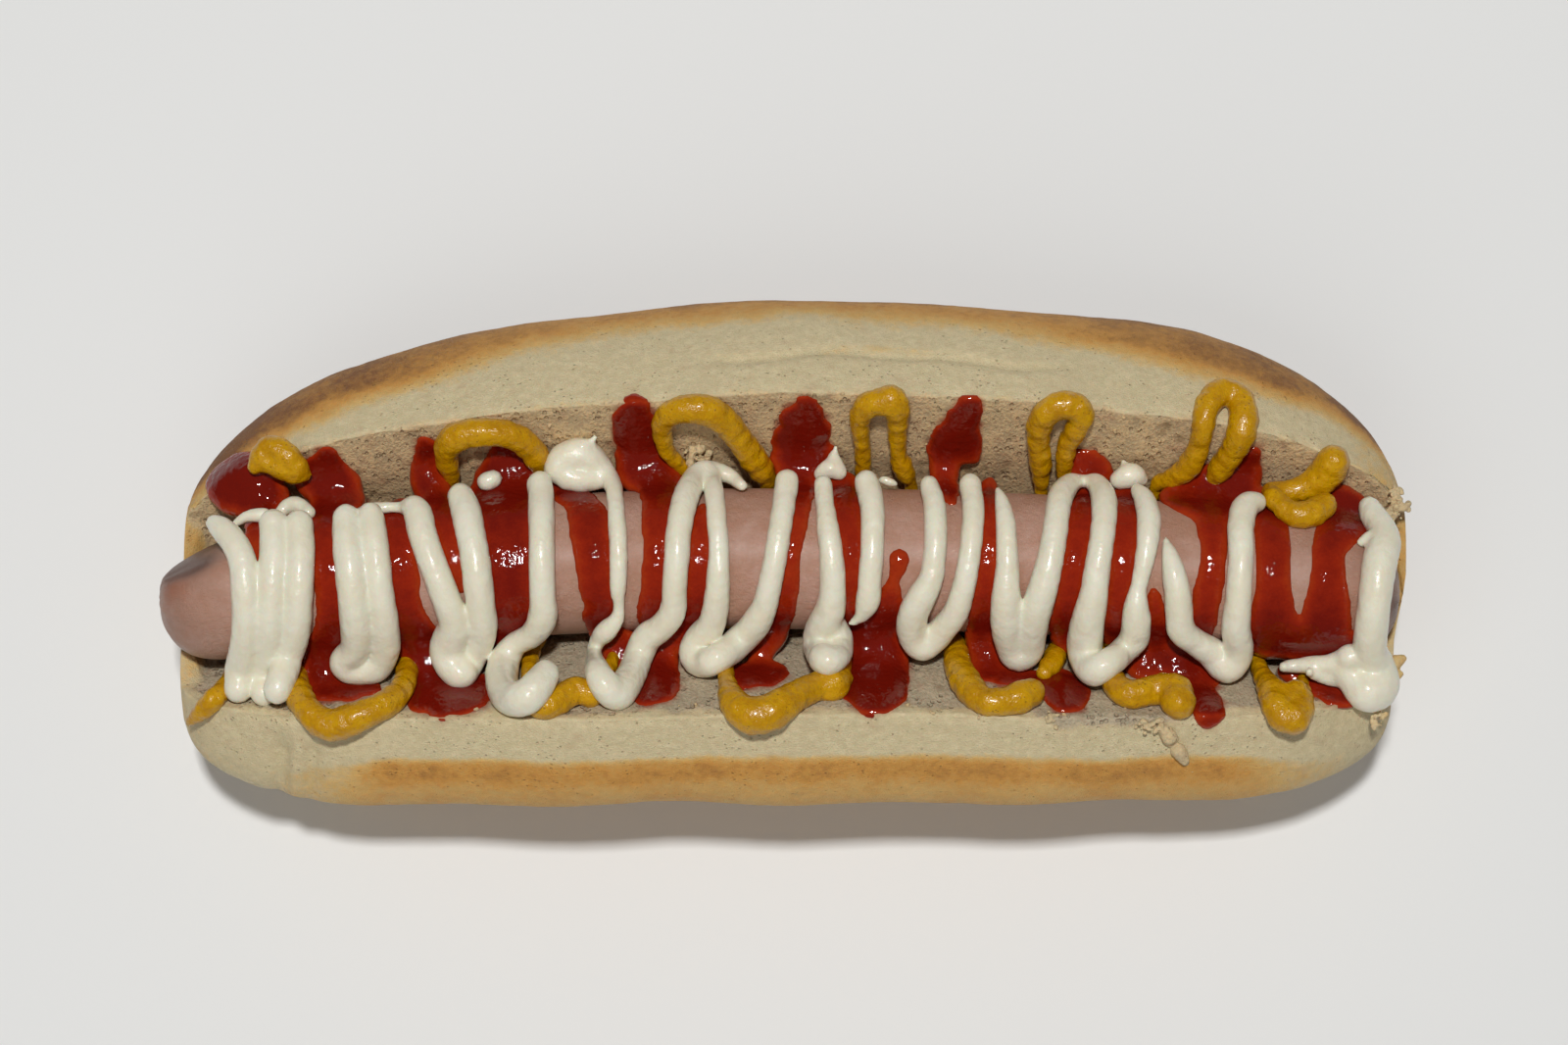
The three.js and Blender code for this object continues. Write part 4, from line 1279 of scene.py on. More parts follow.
@dataclass
class Bun:
    """The opened bun: baked skin outside, torn crumb and the groove inside. Lengths are in millimetres."""

    stations: int = 340
    even: float = 0.72  # share of their spacing that is even, the rest drawing them to the ends
    counts: Mapping[str, int] = field(default_factory=lambda: {
        "near crumb": 36, "groove": 24, "far crumb": 40, "far band": 46, "far side": 40, "base": 14,
        "near side": 30, "near band": 40})
    shoulder: float = 0.62  # share of a quarter turn at which a half's band becomes its side
    skin_samples: int = 400
    low_samples: int = 61
    base_out: float = 20.0  # how far out from the cut face the flat underside counts
    cap_rise: float = 0.9  # how much the rounded ends add
    cap_rings: int = 7
    cap_turn: float = 0.97  # share of a quarter turn that they take
    cap_softening: int = 30  # rounds that each of these rings is rounded more
    edge_waver: Layers = ((0.9, 2.4, 11), (0.5, 0.9, 12))
    tear: float = 3.4  # how far the crumb is laid bare past the near edge where it tore
    torn_spans: Spans = (33.0, 38.0, 53.0, 58.0)
    wrap: float = 1.6  # how far the skin turns in over the near edge
    crumb_lumps: Layers = ((0.2, 4.6, 21), (0.12, 1.8, 22))
    pit_depth: float = 0.4
    pit_cell: float = 1.9
    skin_lumps: Layers = ((0.18, 16.0, 51), (0.09, 5.0, 52), (0.05, 1.4, 53))
    ragged: float = 0.5
    flat_below: float = 0.4  # above the table, where the skin has no relief
    end_dish: float = 2.8  # how far the ends draw in at the groove
    near_end: float = 2.2  # how much shorter the near half is at the right
    dent_depth: float = 1.2
    ridge_height: float = 0.35
    crease_depth: float = 0.6
    crease_spans: Spans = (-16.0, -8.0, 34.0, 42.0)
    stain_rounds: int = 6  # how far the ketchup soaks into the crumb round it
    bake: Bake = Bake()

    def _skin_line(self, half: Half, u: float, ends: tuple[float, float],
                   count: int) -> tuple[np.ndarray, np.ndarray]:
        """Evenly laid points of a half's skin between two angles, without the last.

        Args:
            half: Which half.
            u: Share of the half length.
            ends: The angles, 0 at the cut edge and pi at the hinge.
            count: How many points.

        Returns:
            The points across and up, and how far each is from the cut face.
        """
        points, out = FORM.skin(half, u, np.linspace(*ends, self.skin_samples))
        way = way_along(points)
        want = np.linspace(0.0, way[-1], count + 1)[:-1]
        spots = np.stack([np.interp(want, way, points[:, axis]) for axis in range(2)], axis=1)
        return spots, np.interp(want, way, out)

    def _lowest(self, half: Half, u: float) -> float:
        """The angle at which a half's skin is lowest."""
        angles = np.linspace(QUARTER_TURN, math.pi, self.low_samples)
        return float(angles[np.argmin(FORM.skin(half, u, angles)[0][:, 1])])

    def _section(self, u: float) -> tuple[np.ndarray, np.ndarray, np.ndarray, np.ndarray]:
        """One section of the bun.

        Args:
            u: Share of the half length.

        Returns:
            Points across and up from the axis, and for each of them past, out and side as BunSkin has them.
        """
        near, far, counts = FORM.near, FORM.far, self.counts

        def line(start: np.ndarray, end: np.ndarray, count: int) -> np.ndarray:
            """Points from start up to end, without the end."""
            return start + (end - start) * (np.arange(count) / count)[:, None]

        near_foot, far_foot = near.into * FORM.groove_radius, far.into * FORM.groove_radius
        ends = [math.atan2(foot[1], foot[0]) for foot in (near_foot, far_foot)]
        turn = np.linspace(*ends, counts["groove"] + 1)[:-1]
        arc = FORM.groove_radius * np.stack([np.cos(turn), np.sin(turn)], axis=1)
        shoulder = self.shoulder * QUARTER_TURN
        far_low, near_low = self._lowest(far, u), self._lowest(near, u)
        far_band = self._skin_line(far, u, (0.0, shoulder), counts["far band"])
        far_side = self._skin_line(far, u, (shoulder, far_low), counts["far side"])
        near_side = self._skin_line(near, u, (near_low, shoulder), counts["near side"])
        near_band = self._skin_line(near, u, (shoulder, 0.0), counts["near band"])
        far_end = FORM.skin(far, u, np.array([far_low]))[0][0]
        points = np.vstack([
            line(FORM.rim_point(near, u), near_foot, counts["near crumb"]), arc,
            line(far_foot, FORM.rim_point(far, u), counts["far crumb"]), far_band[0], far_side[0],
            line(far_end, near_side[0][0], counts["base"]), near_side[0], near_band[0]])
        inside = counts["near crumb"] + counts["groove"] + counts["far crumb"]
        way = way_along(np.vstack([points, points[:1]]))
        number = np.arange(len(points))
        past = np.where(number < inside, -np.minimum(way[:-1], way[inside] - way[:-1]),
                        np.minimum(way[:-1] - way[inside], way[-1] - way[:-1]))
        out = np.concatenate([np.zeros(inside), far_band[1], far_side[1],
                              np.full(counts["base"], self.base_out), near_side[1], near_band[1]])
        groove_middle = counts["near crumb"] + counts["groove"] // 2
        base_middle = inside + counts["far band"] + counts["far side"] + counts["base"] // 2
        side = np.where((number < groove_middle) | (number >= base_middle), -1.0, 1.0)
        points[:, 1] = np.maximum(points[:, 1], -FORM.axis_height)
        return points, past, out, side

    def _cap(self, ring: np.ndarray, way: float) -> np.ndarray:
        """Rings that close an end in a low dome.

        Args:
            ring: The end's last ring.
            way: -1 at the left end and 1 at the right.

        Returns:
            The rings, outwards.
        """
        middle = ring.mean(axis=0)
        shrunk = []
        for angle in np.linspace(0.0, QUARTER_TURN, self.cap_rings + 1)[1:] * self.cap_turn:
            for _ in range(self.cap_softening):
                ring = evened(ring)
            shrunk.append(middle + (ring - middle) * math.cos(angle))
            shrunk[-1][:, 0] += way * self.cap_rise * math.sin(angle)
        return np.array(shrunk)

    def _skin(self) -> BunSkin:
        """All sections in place, with the rounded ends.

        Returns:
            The bun's surface.
        """
        turns = np.linspace(-1.0, 1.0, self.stations)
        us = FORM.blunt_share * (self.even * turns + (1.0 - self.even) * np.sin(turns * QUARTER_TURN))
        sections = [self._section(float(u)) for u in us]
        x = us * FORM.length / 2
        flat = np.array([section[0] for section in sections])
        rings = np.stack([x[:, None] + np.zeros(flat.shape[:2]), flat[:, :, 0] + FORM.bow(x)[:, None],
                          flat[:, :, 1] + FORM.axis_height], axis=2)
        rings = np.concatenate([self._cap(rings[0], -1.0)[::-1], rings, self._cap(rings[-1], 1.0)])
        spread = [np.array([section[i] for section in sections]) for i in range(1, 4)]
        pad = ((self.cap_rings, self.cap_rings), (0, 0))
        past, out, side = (np.pad(values, pad, mode="edge").ravel() for values in spread)
        last = len(rings) - 1
        from_end = last / 2 - np.abs(np.arange(last + 1) - last / 2)
        return BunSkin(rings, past, out, side, np.clip(from_end / self.cap_rings, 0.0, 1.0)[:, None])

    def _pits(self, skin: BunSkin) -> np.ndarray:
        """Where the crumb has open holes.

        Args:
            skin: The bun's surface.

        Returns:
            1 for each point in a hole and 0 between them.
        """
        open_patch = cloudy(skin.torn, 6.0, 25) + 0.7 * smoothstep(-4.0, -12.0, skin.past) - 0.1
        distance = pore_distance(skin.torn, self.pit_cell, 31) - 0.1 * cloudy(skin.torn, 1.6, 24)
        return smoothstep(0.0, 0.5, open_patch) * smoothstep(0.46, 0.14, distance)

    def _folds(self, skin: BunSkin) -> np.ndarray:
        """Dents and creases of the skin.

        Args:
            skin: The bun's surface.

        Returns:
            How far they lift each point, in millimetres.
        """
        line = skin.x + 0.14 * (skin.out - 8.0)
        dent = hump(-75.2, 1.6, line) + 0.7 * hump(-70.6, 1.4, line)
        dent *= within((2.0, 7.0, 12.0, 19.0), skin.out)
        ridge = hump(-72.9, 1.6, line) * within((2.0, 7.0, 12.0, 18.0), skin.out)
        crease_at = 7.6 + 0.7 * np.sin(skin.x / 7.0) + 0.4 * np.sin(skin.x / 2.9)
        crease = hump(crease_at, 0.8, skin.out) * within(self.crease_spans, skin.x)
        near = self.ridge_height * ridge - self.dent_depth * dent
        return (skin.past > 0) * np.where(skin.side < 0, near, -self.crease_depth * crease)

    def _shaped(self, skin: BunSkin, crumb: np.ndarray, inside: np.ndarray, pits: np.ndarray) -> np.ndarray:
        """The rings with their relief and their drawn-in ends.

        Args:
            skin: The bun's surface.
            crumb: 1 on the crumb and 0 on the skin.
            inside: The same, away from the crumb's edges.
            pits: 1 in the crumb's holes.

        Returns:
            The rings.
        """
        lift = inside * (layered(skin.torn, self.crumb_lumps) - self.pit_depth * pits)
        lift += (1.0 - crumb) * layered(skin.flat, self.skin_lumps) + self._folds(skin)
        lift += self.ragged * smoothstep(1.6, 0.0, np.abs(skin.past)) * (cloudy(skin.flat, 2.0, 61) - 0.3)
        lift *= smoothstep(FORM.length / 2, FORM.length / 2 - 2.0, skin.from_middle)
        lift[skin.up < self.flat_below] = 0.0
        shaped = skin.rings + grid_normals(skin.rings) * skin.by_ring(lift)[:, :, None]
        shaped[:, :, 2] = np.maximum(shaped[:, :, 2], 0.0)
        dished = smoothstep(0.5, -3.0, skin.past) * smoothstep(84.0, 91.0, skin.from_middle)
        dished = skin.by_ring(dished) * np.sin(skin.cap_share * QUARTER_TURN)
        shaped[:, :, 0] -= self.end_dish * np.sign(skin.rings[:, :, 0]) * dished
        drawn_in = smoothstep(70.0, 90.0, skin.x) * smoothstep(4.0, -8.0, skin.across)
        shaped[:, :, 0] -= self.near_end * skin.by_ring(drawn_in)
        return shaped

    def build(self, finish: bpy.types.Material, ketchup: np.ndarray) -> bpy.types.Object:
        """Makes the bun's mesh with its relief and bake, and dresses it.

        Args:
            finish: The bread's material.
            ketchup: Its depth at each point of a bed's grid, negative where there is none.

        Returns:
            The finished piece.
        """
        skin = self._skin()
        open_share = np.repeat(smoothstep(0.6, 1.0, skin.cap_share), skin.rings.shape[1])
        edge = layered(skin.flat, self.edge_waver) + self.wrap * (skin.side < 0)
        edge -= self.tear * (skin.side < 0) * within(self.torn_spans, skin.x)
        crumb, pits = smoothstep(0.7, -0.9, skin.past + edge) * open_share, self._pits(skin)
        inside = crumb * smoothstep(-0.4, -2.2, skin.past) * smoothstep(90.0, 85.0, skin.from_middle)
        points, faces = loft(self._shaped(skin, crumb, inside, pits))
        sauce = Bed(softened((ketchup > 0.0).astype(float), self.stain_rounds))
        soaked = sauce.at(skin.x, skin.flat[:, 1]) + 0.35 * cloudy(skin.flat, 1.3, 26)
        stain = smoothstep(0.1, 0.7, soaked) * (skin.up > 20.0) * np.maximum(crumb, 0.5)
        # Painted shade: the far side's crumb gets darker deep in the groove, carried in deep.
        foot = 0.5 * smoothstep(-4.0, 2.0, skin.across) * smoothstep(-5.0, -17.0, skin.past)
        values = {"crumb": crumb, "deep": inside * np.maximum(pits, foot), "stain": stain,
                  "bake": (1.0 - crumb) * self.bake.of(skin, open_share),
                  # near: where the near half's crumb takes its painted shade
                  "near": crumb * smoothstep(-4.0, -9.0, skin.flat[:, 1])}
        closed = {label: np.append(numbers, [numbers[0], numbers[-1]]) for label, numbers in values.items()}
        mesh = mesh_of("baked_bun", points, faces, closed)
        mesh.materials.append(finish)
        return dressed(piece_of(mesh), Slot.BUN, "bun")


# ---- The sausage ----


@dataclass
class Sausage:
    """The cooked sausage, with its gathered ends. Lengths are in millimetres."""

    stations: int = 320
    around: int = 120
    end_gap: float = 0.02  # how far inside the true tips its ends lie
    least_radius: float = 0.2
    gathers: Sequence[tuple[float, int, float]] = ((0.5, 11, 0.0), (0.3, 17, 1.0), (0.2, 5, 2.0))
    gather_depth: float = 0.32
    gather_reach: float = 3.2
    inset: float = 0.12  # how far its whole skin lies inside the plain form
    waver: Layers = ((0.16, 14.0, 81), (0.05, 3.0, 82))
    slope_start: float = -1.9  # where the flat slope of the left tip begins, across, at the tip's end
    slope: float = 0.49  # how fast it widens along the sausage
    slope_lean: float = 0.45  # how fast it draws in towards the top
    slope_give: float = 0.15  # share of the round form that it keeps
    slope_soft: float = 2.2  # how wide its edge is rounded
    tip_shade: float = 5.0  # how far the dark of the tips reaches
    brown_spot: tuple[float, float] = (-90.5, -6.0)  # along and across
    brown_size: tuple[float, float] = (2.4, 1.8)

    def build(self, finish: bpy.types.Material) -> bpy.types.Object:
        """Makes the sausage's mesh and dresses it.

        Args:
            finish: The casing's material.

        Returns:
            The finished piece.
        """
        share = 0.5 - 0.5 * np.cos(np.linspace(0.0, math.pi, self.stations))
        x = FORM.left_tip + self.end_gap + (FORM.right_tip - FORM.left_tip - 2 * self.end_gap) * share
        angles = np.linspace(0.0, 2 * math.pi, self.around, endpoint=False)
        radius = np.maximum(FORM.sausage_radius_at(x), self.least_radius)[:, None]
        from_left, from_right = (x - FORM.left_tip)[:, None], (FORM.right_tip - x)[:, None]
        across, up = radius * np.cos(angles) + FORM.bow(x)[:, None], radius * np.sin(angles)
        rings = np.stack([x[:, None] + np.zeros(across.shape), across, up + FORM.axis_height], axis=2)
        reach = self.slope_start + self.slope * from_left
        over = across - (reach - self.slope_lean * radius * np.maximum(np.sin(angles), 0.0))
        beyond = 0.5 * (over + np.hypot(over, self.slope_soft)) * smoothstep(20.0, 13.0, from_left)
        rings[:, :, 1] -= (1.0 - self.slope_give) * beyond
        flat = rings.reshape(-1, 3)
        tip = np.exp(-from_left / self.gather_reach) + np.exp(-from_right / self.gather_reach)
        pleat = sum(depth * np.sin(number * angles + start) for depth, number, start in self.gathers)
        fade = np.clip(radius / FORM.sausage_radius, 0.0, 1.0)
        lift = layered(flat, self.waver).reshape(across.shape) * fade
        lift -= self.gather_depth * tip * fade * (pleat + 0.6) + self.inset
        points, faces = loft(rings + grid_normals(rings) * lift[:, :, None])
        # Darker towards both tips; the extra dark on the left tip's flat slope is painted shade.
        dark = np.exp(-(from_left + 0.35 * np.abs(rings[:, :, 1] - 2.0)) / self.tip_shade)
        dark = dark + np.exp(-from_right / self.tip_shade)
        dark += 0.8 * smoothstep(0.2, 3.4, beyond) * smoothstep(14.0, 5.0, from_left)
        shade = np.clip(dark.ravel() * (1.0 + 0.5 * cloudy(flat, 2.6, 84)), 0.0, 1.0)
        spot = hump(self.brown_spot[0], self.brown_size[0], flat[:, 0])
        spot *= hump(self.brown_spot[1], self.brown_size[1], flat[:, 1])
        browned = np.clip(0.8 * spot * (0.8 + 0.6 * cloudy(flat, 1.6, 83)), 0.0, 1.0)
        browned *= flat[:, 2] > FORM.axis_height
        values = {"browned": np.append(browned, [0.2, 0.0]), "tip": np.append(shade, [0.9, 0.9])}
        mesh = mesh_of("cooked_sausage", points, faces, values)
        mesh.materials.append(finish)
        return dressed(piece_of(mesh), Slot.SAUSAGE, "sausage")


# ---- The sauces ----


@dataclass
class Squeezed:
    """A sauce squeezed out in a bead."""

    name: str
    slot: Slot
    radius: float  # millimetres
    routes: Sequence[Route]
    nodes: Sequence[str]
    flow: Flow
    sink: float = 0.25  # share of the radius that the bead settles into what it lies on
    stiffness: float = 2.2  # millimetres along the bead that it bridges without sagging
    sag: float = 0.4  # millimetres that it may lie below where a ball of its size would rest
    thinnest: float = 0.25  # share of the radius
    uneven: float = 0.05
    uneven_length: float = 6.0
    ribs: float = 0.0
    rib_length: float = 2.1
    spacing: float = 2.4  # pixels
    seed: int = 90
    kept_off: float = 0.85  # share of its radius that keeps a later bead away

    def lay(self, bed: Bed) -> np.ndarray:
        """Lays the bead on a bed.

        Args:
            bed: What it lies on.

        Returns:
            Centres and radii in millimetres, four numbers a row.
        """
        rest = bed.rolled(self.radius)
        beads = []
        for number, route in enumerate(self.routes):
            fine = through(route, self.spacing)
            share = np.maximum(fine[:, 2], self.thinnest)
            centres = SIGHT.land(fine[:, :2], rest)
            way = way_along(centres[:, :2])
            near = hump(way[None, :], self.stiffness, way[:, None])
            level = (near @ centres[:, 2]) / near.sum(axis=1)
            centres[:, 2] = np.maximum(level, centres[:, 2] - self.sag)
            ribbed = 1.0 + self.ribs * np.sin(2 * math.pi * way / self.rib_length + number)
            ribbed += self.uneven * cloudy(centres, self.uneven_length, self.seed + number)
            radius = self.radius * share * ribbed
            centres[:, 2] -= self.radius * (1.0 - share) + self.sink * radius
            beads.append(np.column_stack([centres, radius]))
        return np.vstack(beads)

    def build(self, beads: np.ndarray) -> bpy.types.Object:
        """Turns the laid bead into the finished piece."""
        return dressed(self.flow.body(self.name, beads), self.slot, *self.nodes)


@dataclass
class Ketchup:
    """Ketchup that ran down over the sausage and pooled on the crumb. Lengths are in millimetres."""

    strokes: Sequence[Route]  # the third number is half the stroke's width, in pixels
    flow: Flow
    spacing: float = 3.0  # pixels
    rounded: int = 5  # rounds in which the strokes flow together
    flatness: float = 0.45  # height for each millimetre of half width
    deepest: tuple[float, float] = (0.75, 1.7)  # on the casing, and on the crumb
    ragged: tuple[float, float] = (0.3, 0.8)  # how far its edge wanders on each of them
    casing_edge: tuple[float, float] = (8.5, 11.0)  # from the axis, where the casing gives way to crumb
    edge_cells: tuple[float, float, float] = (3.8, 1.9, 0.9)  # sizes of the edge's wanderings
    edge_seeds: tuple[int, int] = (101, 104)
    soaked: float = 0.42  # how finely frayed its edge is where the dry far crumb draws it in
    drawn_back: float = 0.32  # how much of the swelling the edge loses
    thinnest: float = 0.1
    least_radius: float = 0.62
    most_radius: float = 1.2
    grown: float = 0.06  # how much larger the beads are, as their skin lies inside them
    layers: int = 4  # rows of points below the top one where it fills a cleft
    layer_step: float = 0.8
    deep_above: float = 1.3  # above the bed, where it shows its full colour
    cleft: float = 4.2  # radius of the ball that is kept out of the clefts that it fills

    def depth_on(self, bed: Bed) -> np.ndarray:
        """How deep the sauce lies.

        Args:
            bed: What it lies on.

        Returns:
            Its depth at each point of the bed's grid, negative where there is none.
        """
        across, away = np.meshgrid(Bed.XS, Bed.YS, indexing="ij")
        flat = np.stack([across.ravel(), away.ravel(), np.zeros(across.size)], axis=1)
        from_axis = away - FORM.bow(across)
        off_casing = smoothstep(*self.casing_edge, np.abs(from_axis))
        wander, most = (on_casing + (on_crumb - on_casing) * off_casing
                        for on_casing, on_crumb in (self.ragged, self.deepest))
        soaked = self.soaked * smoothstep(11.0, 14.0, from_axis) * smoothstep(56.0, 46.0, np.abs(across))
        wide_cell, middle_cell, fine_cell = self.edge_cells
        shift = []
        for seed in self.edge_seeds:
            wide = layered(flat, ((0.9, wide_cell, seed), (0.5, middle_cell, seed + 1)))
            fine = cloudy(flat, fine_cell, seed + 2)
            shift.append(wander * wide.reshape(across.shape) + soaked * fine.reshape(across.shape))
        swell = np.zeros_like(bed.heights)
        for stroke in self.strokes:
            line = through(stroke, self.spacing)
            spots = SIGHT.land(line[:, :2], bed)
            for (x, y, _), half in zip(spots, line[:, 2] * SIGHT.pixel):
                spot, aside = Bed.disc(x, y, half)
                swell[spot] = np.maximum(swell[spot], np.sqrt(np.clip(half * half - aside, 0.0, None)))
        swell = Bed(softened(swell, self.rounded)).at(across + shift[0], away + shift[1]) - self.drawn_back
        rough = cloudy(flat, 2.6, 105).reshape(across.shape)
        depth = most * (1.0 - np.exp(-self.flatness * np.clip(swell, 0.0, None) / most))
        return np.where(swell > 0.0, self.thinnest + depth * (1.0 + 0.15 * rough), -1.0)

    def build(self, bed: Bed, floor: Bed, depth: np.ndarray) -> bpy.types.Object:
        """Turns the depths into a piece.

        Args:
            bed: What the sauce lies on, with its clefts filled.
            floor: The same without the filling, down to which the sauce runs.
            depth: Depth at each point of the bed's grid.

        Returns:
            The finished piece.
        """
        rows, columns = np.nonzero(depth > 0.0)
        deep = depth[rows, columns]
        radius = np.clip(deep, self.least_radius, self.most_radius)
        centre = bed.heights[rows, columns] + deep - radius
        beads = [np.column_stack([Bed.XS[rows], Bed.YS[columns], centre, radius + self.grown])]
        for layer in range(1, self.layers + 1):
            lower = beads[0] - [0.0, 0.0, layer * self.layer_step, 0.0]
            beads.append(lower[lower[:, 2] > floor.heights[rows, columns]])
        piece = self.flow.body("poured_ketchup", np.vstack(beads))
        spots = points_of(piece.data)
        above = spots[:, 2] - bed.at(spots[:, 0], spots[:, 1])
        tell(piece.data, "depth", smoothstep(0.0, self.deep_above, above))
        nodes = [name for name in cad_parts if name.startswith("ketchup")]
        return dressed(piece, Slot.KETCHUP, *nodes)


# ---- Where the sauces run, in pixels of the 1600 by 1066 frame ----

MUSTARD_ROUTES: Final = [
    [(192, 738, 0.25), (203, 726, 0.6), (215, 714, 0.78), (227, 702, 0.7), (240, 680, 0.45)],
    [(302, 630, 0.3), (300, 655, 0.5), (300, 684, 0.85), (304, 708, 1.0), (316, 727, 1.0), (334, 739, 1.0),
     (355, 735, 1.0), (376, 726, 0.95), (396, 716, 0.95), (410, 701, 0.85), (415, 683, 0.75),
     (418, 660, 0.6), (434, 590, 0.4), (456, 520, 0.4), (461, 490, 0.5), (457, 475, 0.7), (455, 458, 0.85),
     (463, 446, 1.0), (481, 441, 0.95), (502, 440, 0.9), (522, 443, 0.92), (538, 453, 0.9),
     (548, 467, 0.85), (554, 484, 0.6), (556, 540, 0.4), (552, 600, 0.4), (552, 640, 0.6),
     (542, 662, 0.65), (540, 690, 0.6), (548, 718, 0.8), (561, 718, 1.0), (575, 710, 1.0),
     (589, 704, 0.95), (603, 707, 0.95), (612, 700, 0.6), (640, 640, 0.4), (690, 540, 0.4),
     (704, 490, 0.5), (694, 474, 0.6), (682, 462, 0.62), (676, 446, 0.68), (676, 430, 0.8),
     (686, 419, 0.92), (703, 416, 0.97), (722, 418, 1.0), (740, 429, 0.97), (753, 445, 0.95),
     (766, 463, 0.95), (777, 478, 0.85), (784, 496, 0.55), (782, 560, 0.4), (766, 630, 0.55),
     (750, 642, 0.6), (741, 660, 0.5), (742, 695, 0.6), (750, 718, 1.0), (766, 729, 1.15),
     (785, 727, 1.15), (802, 716, 1.05), (819, 706, 1.0), (837, 699, 0.95), (851, 697, 1.08),
     (858, 680, 0.7), (866, 600, 0.4), (876, 520, 0.4), (880, 486, 0.55), (881, 464, 0.62),
     (879, 444, 0.66), (878, 425, 0.78), (886, 412, 0.88), (900, 409, 0.92), (911, 408, 1.0),
     (916, 422, 0.82), (916, 440, 0.66), (917, 460, 0.62), (922, 478, 0.75), (930, 494, 0.5),
     (944, 560, 0.4), (950, 625, 0.5), (962, 636, 0.5), (973, 646, 0.6), (975, 662, 0.8), (979, 682, 0.95),
     (990, 702, 1.0), (1006, 715, 0.95), (1024, 715, 0.95), (1041, 711, 1.08), (1053, 706, 0.9)],
    [(1066, 686, 0.5), (1076, 672, 0.8), (1080, 648, 0.55), (1070, 590, 0.4), (1064, 520, 0.45),
     (1063, 490, 0.6), (1062, 470, 0.75), (1060, 448, 0.76), (1063, 427, 0.86), (1077, 414, 0.95),
     (1094, 413, 1.0), (1105, 420, 0.85), (1099, 436, 0.76), (1090, 452, 0.7), (1087, 470, 0.6),
     (1088, 500, 0.45), (1110, 590, 0.4), (1128, 645, 0.5), (1126, 662, 0.5), (1130, 680, 0.5),
     (1137, 695, 0.85), (1150, 707, 1.0), (1168, 706, 0.95), (1185, 702, 0.97), (1199, 706, 1.15),
     (1203, 716, 1.1)],
    [(1186, 560, 0.3), (1178, 520, 0.4), (1182, 493, 0.5), (1197, 487, 0.68), (1211, 478, 0.76),
     (1221, 462, 0.8), (1227, 442, 0.8), (1231, 420, 0.86), (1237, 406, 0.95), (1251, 399, 0.97),
     (1265, 407, 0.95), (1270, 424, 0.92), (1267, 442, 0.92), (1258, 460, 0.9), (1247, 476, 0.8),
     (1240, 500, 0.5), (1256, 590, 0.4), (1280, 660, 0.5), (1285, 676, 0.6), (1290, 690, 0.7),
     (1297, 702, 0.9), (1302, 716, 1.0), (1310, 730, 1.15), (1322, 731, 1.15), (1329, 714, 0.85),
     (1330, 694, 0.5), (1338, 640, 0.3)],
    [(1300, 704, 0.9), (1312, 714, 1.0), (1322, 706, 0.85)],
]

# The runs of mustard that lie on the ketchup.
UPPER_MUSTARD_ROUTES: Final = [
    [(259, 476, 0.5), (265, 466, 0.75), (277, 457, 0.9), (290, 462, 0.9), (302, 475, 0.85),
     (310, 484, 0.55)],
    [(272, 470, 0.7), (286, 474, 0.85), (300, 484, 0.75)],
    [(261, 461, 0.4), (270, 451, 0.45), (281, 450, 0.4)],
    [(1361, 470, 1.1), (1354, 482, 1.1), (1342, 493, 1.05), (1328, 499, 0.95), (1312, 502, 0.9),
     (1298, 501, 0.8)],
    [(1298, 506, 0.75), (1308, 515, 0.85), (1322, 524, 0.95), (1338, 523, 0.95), (1352, 515, 0.8)],
]

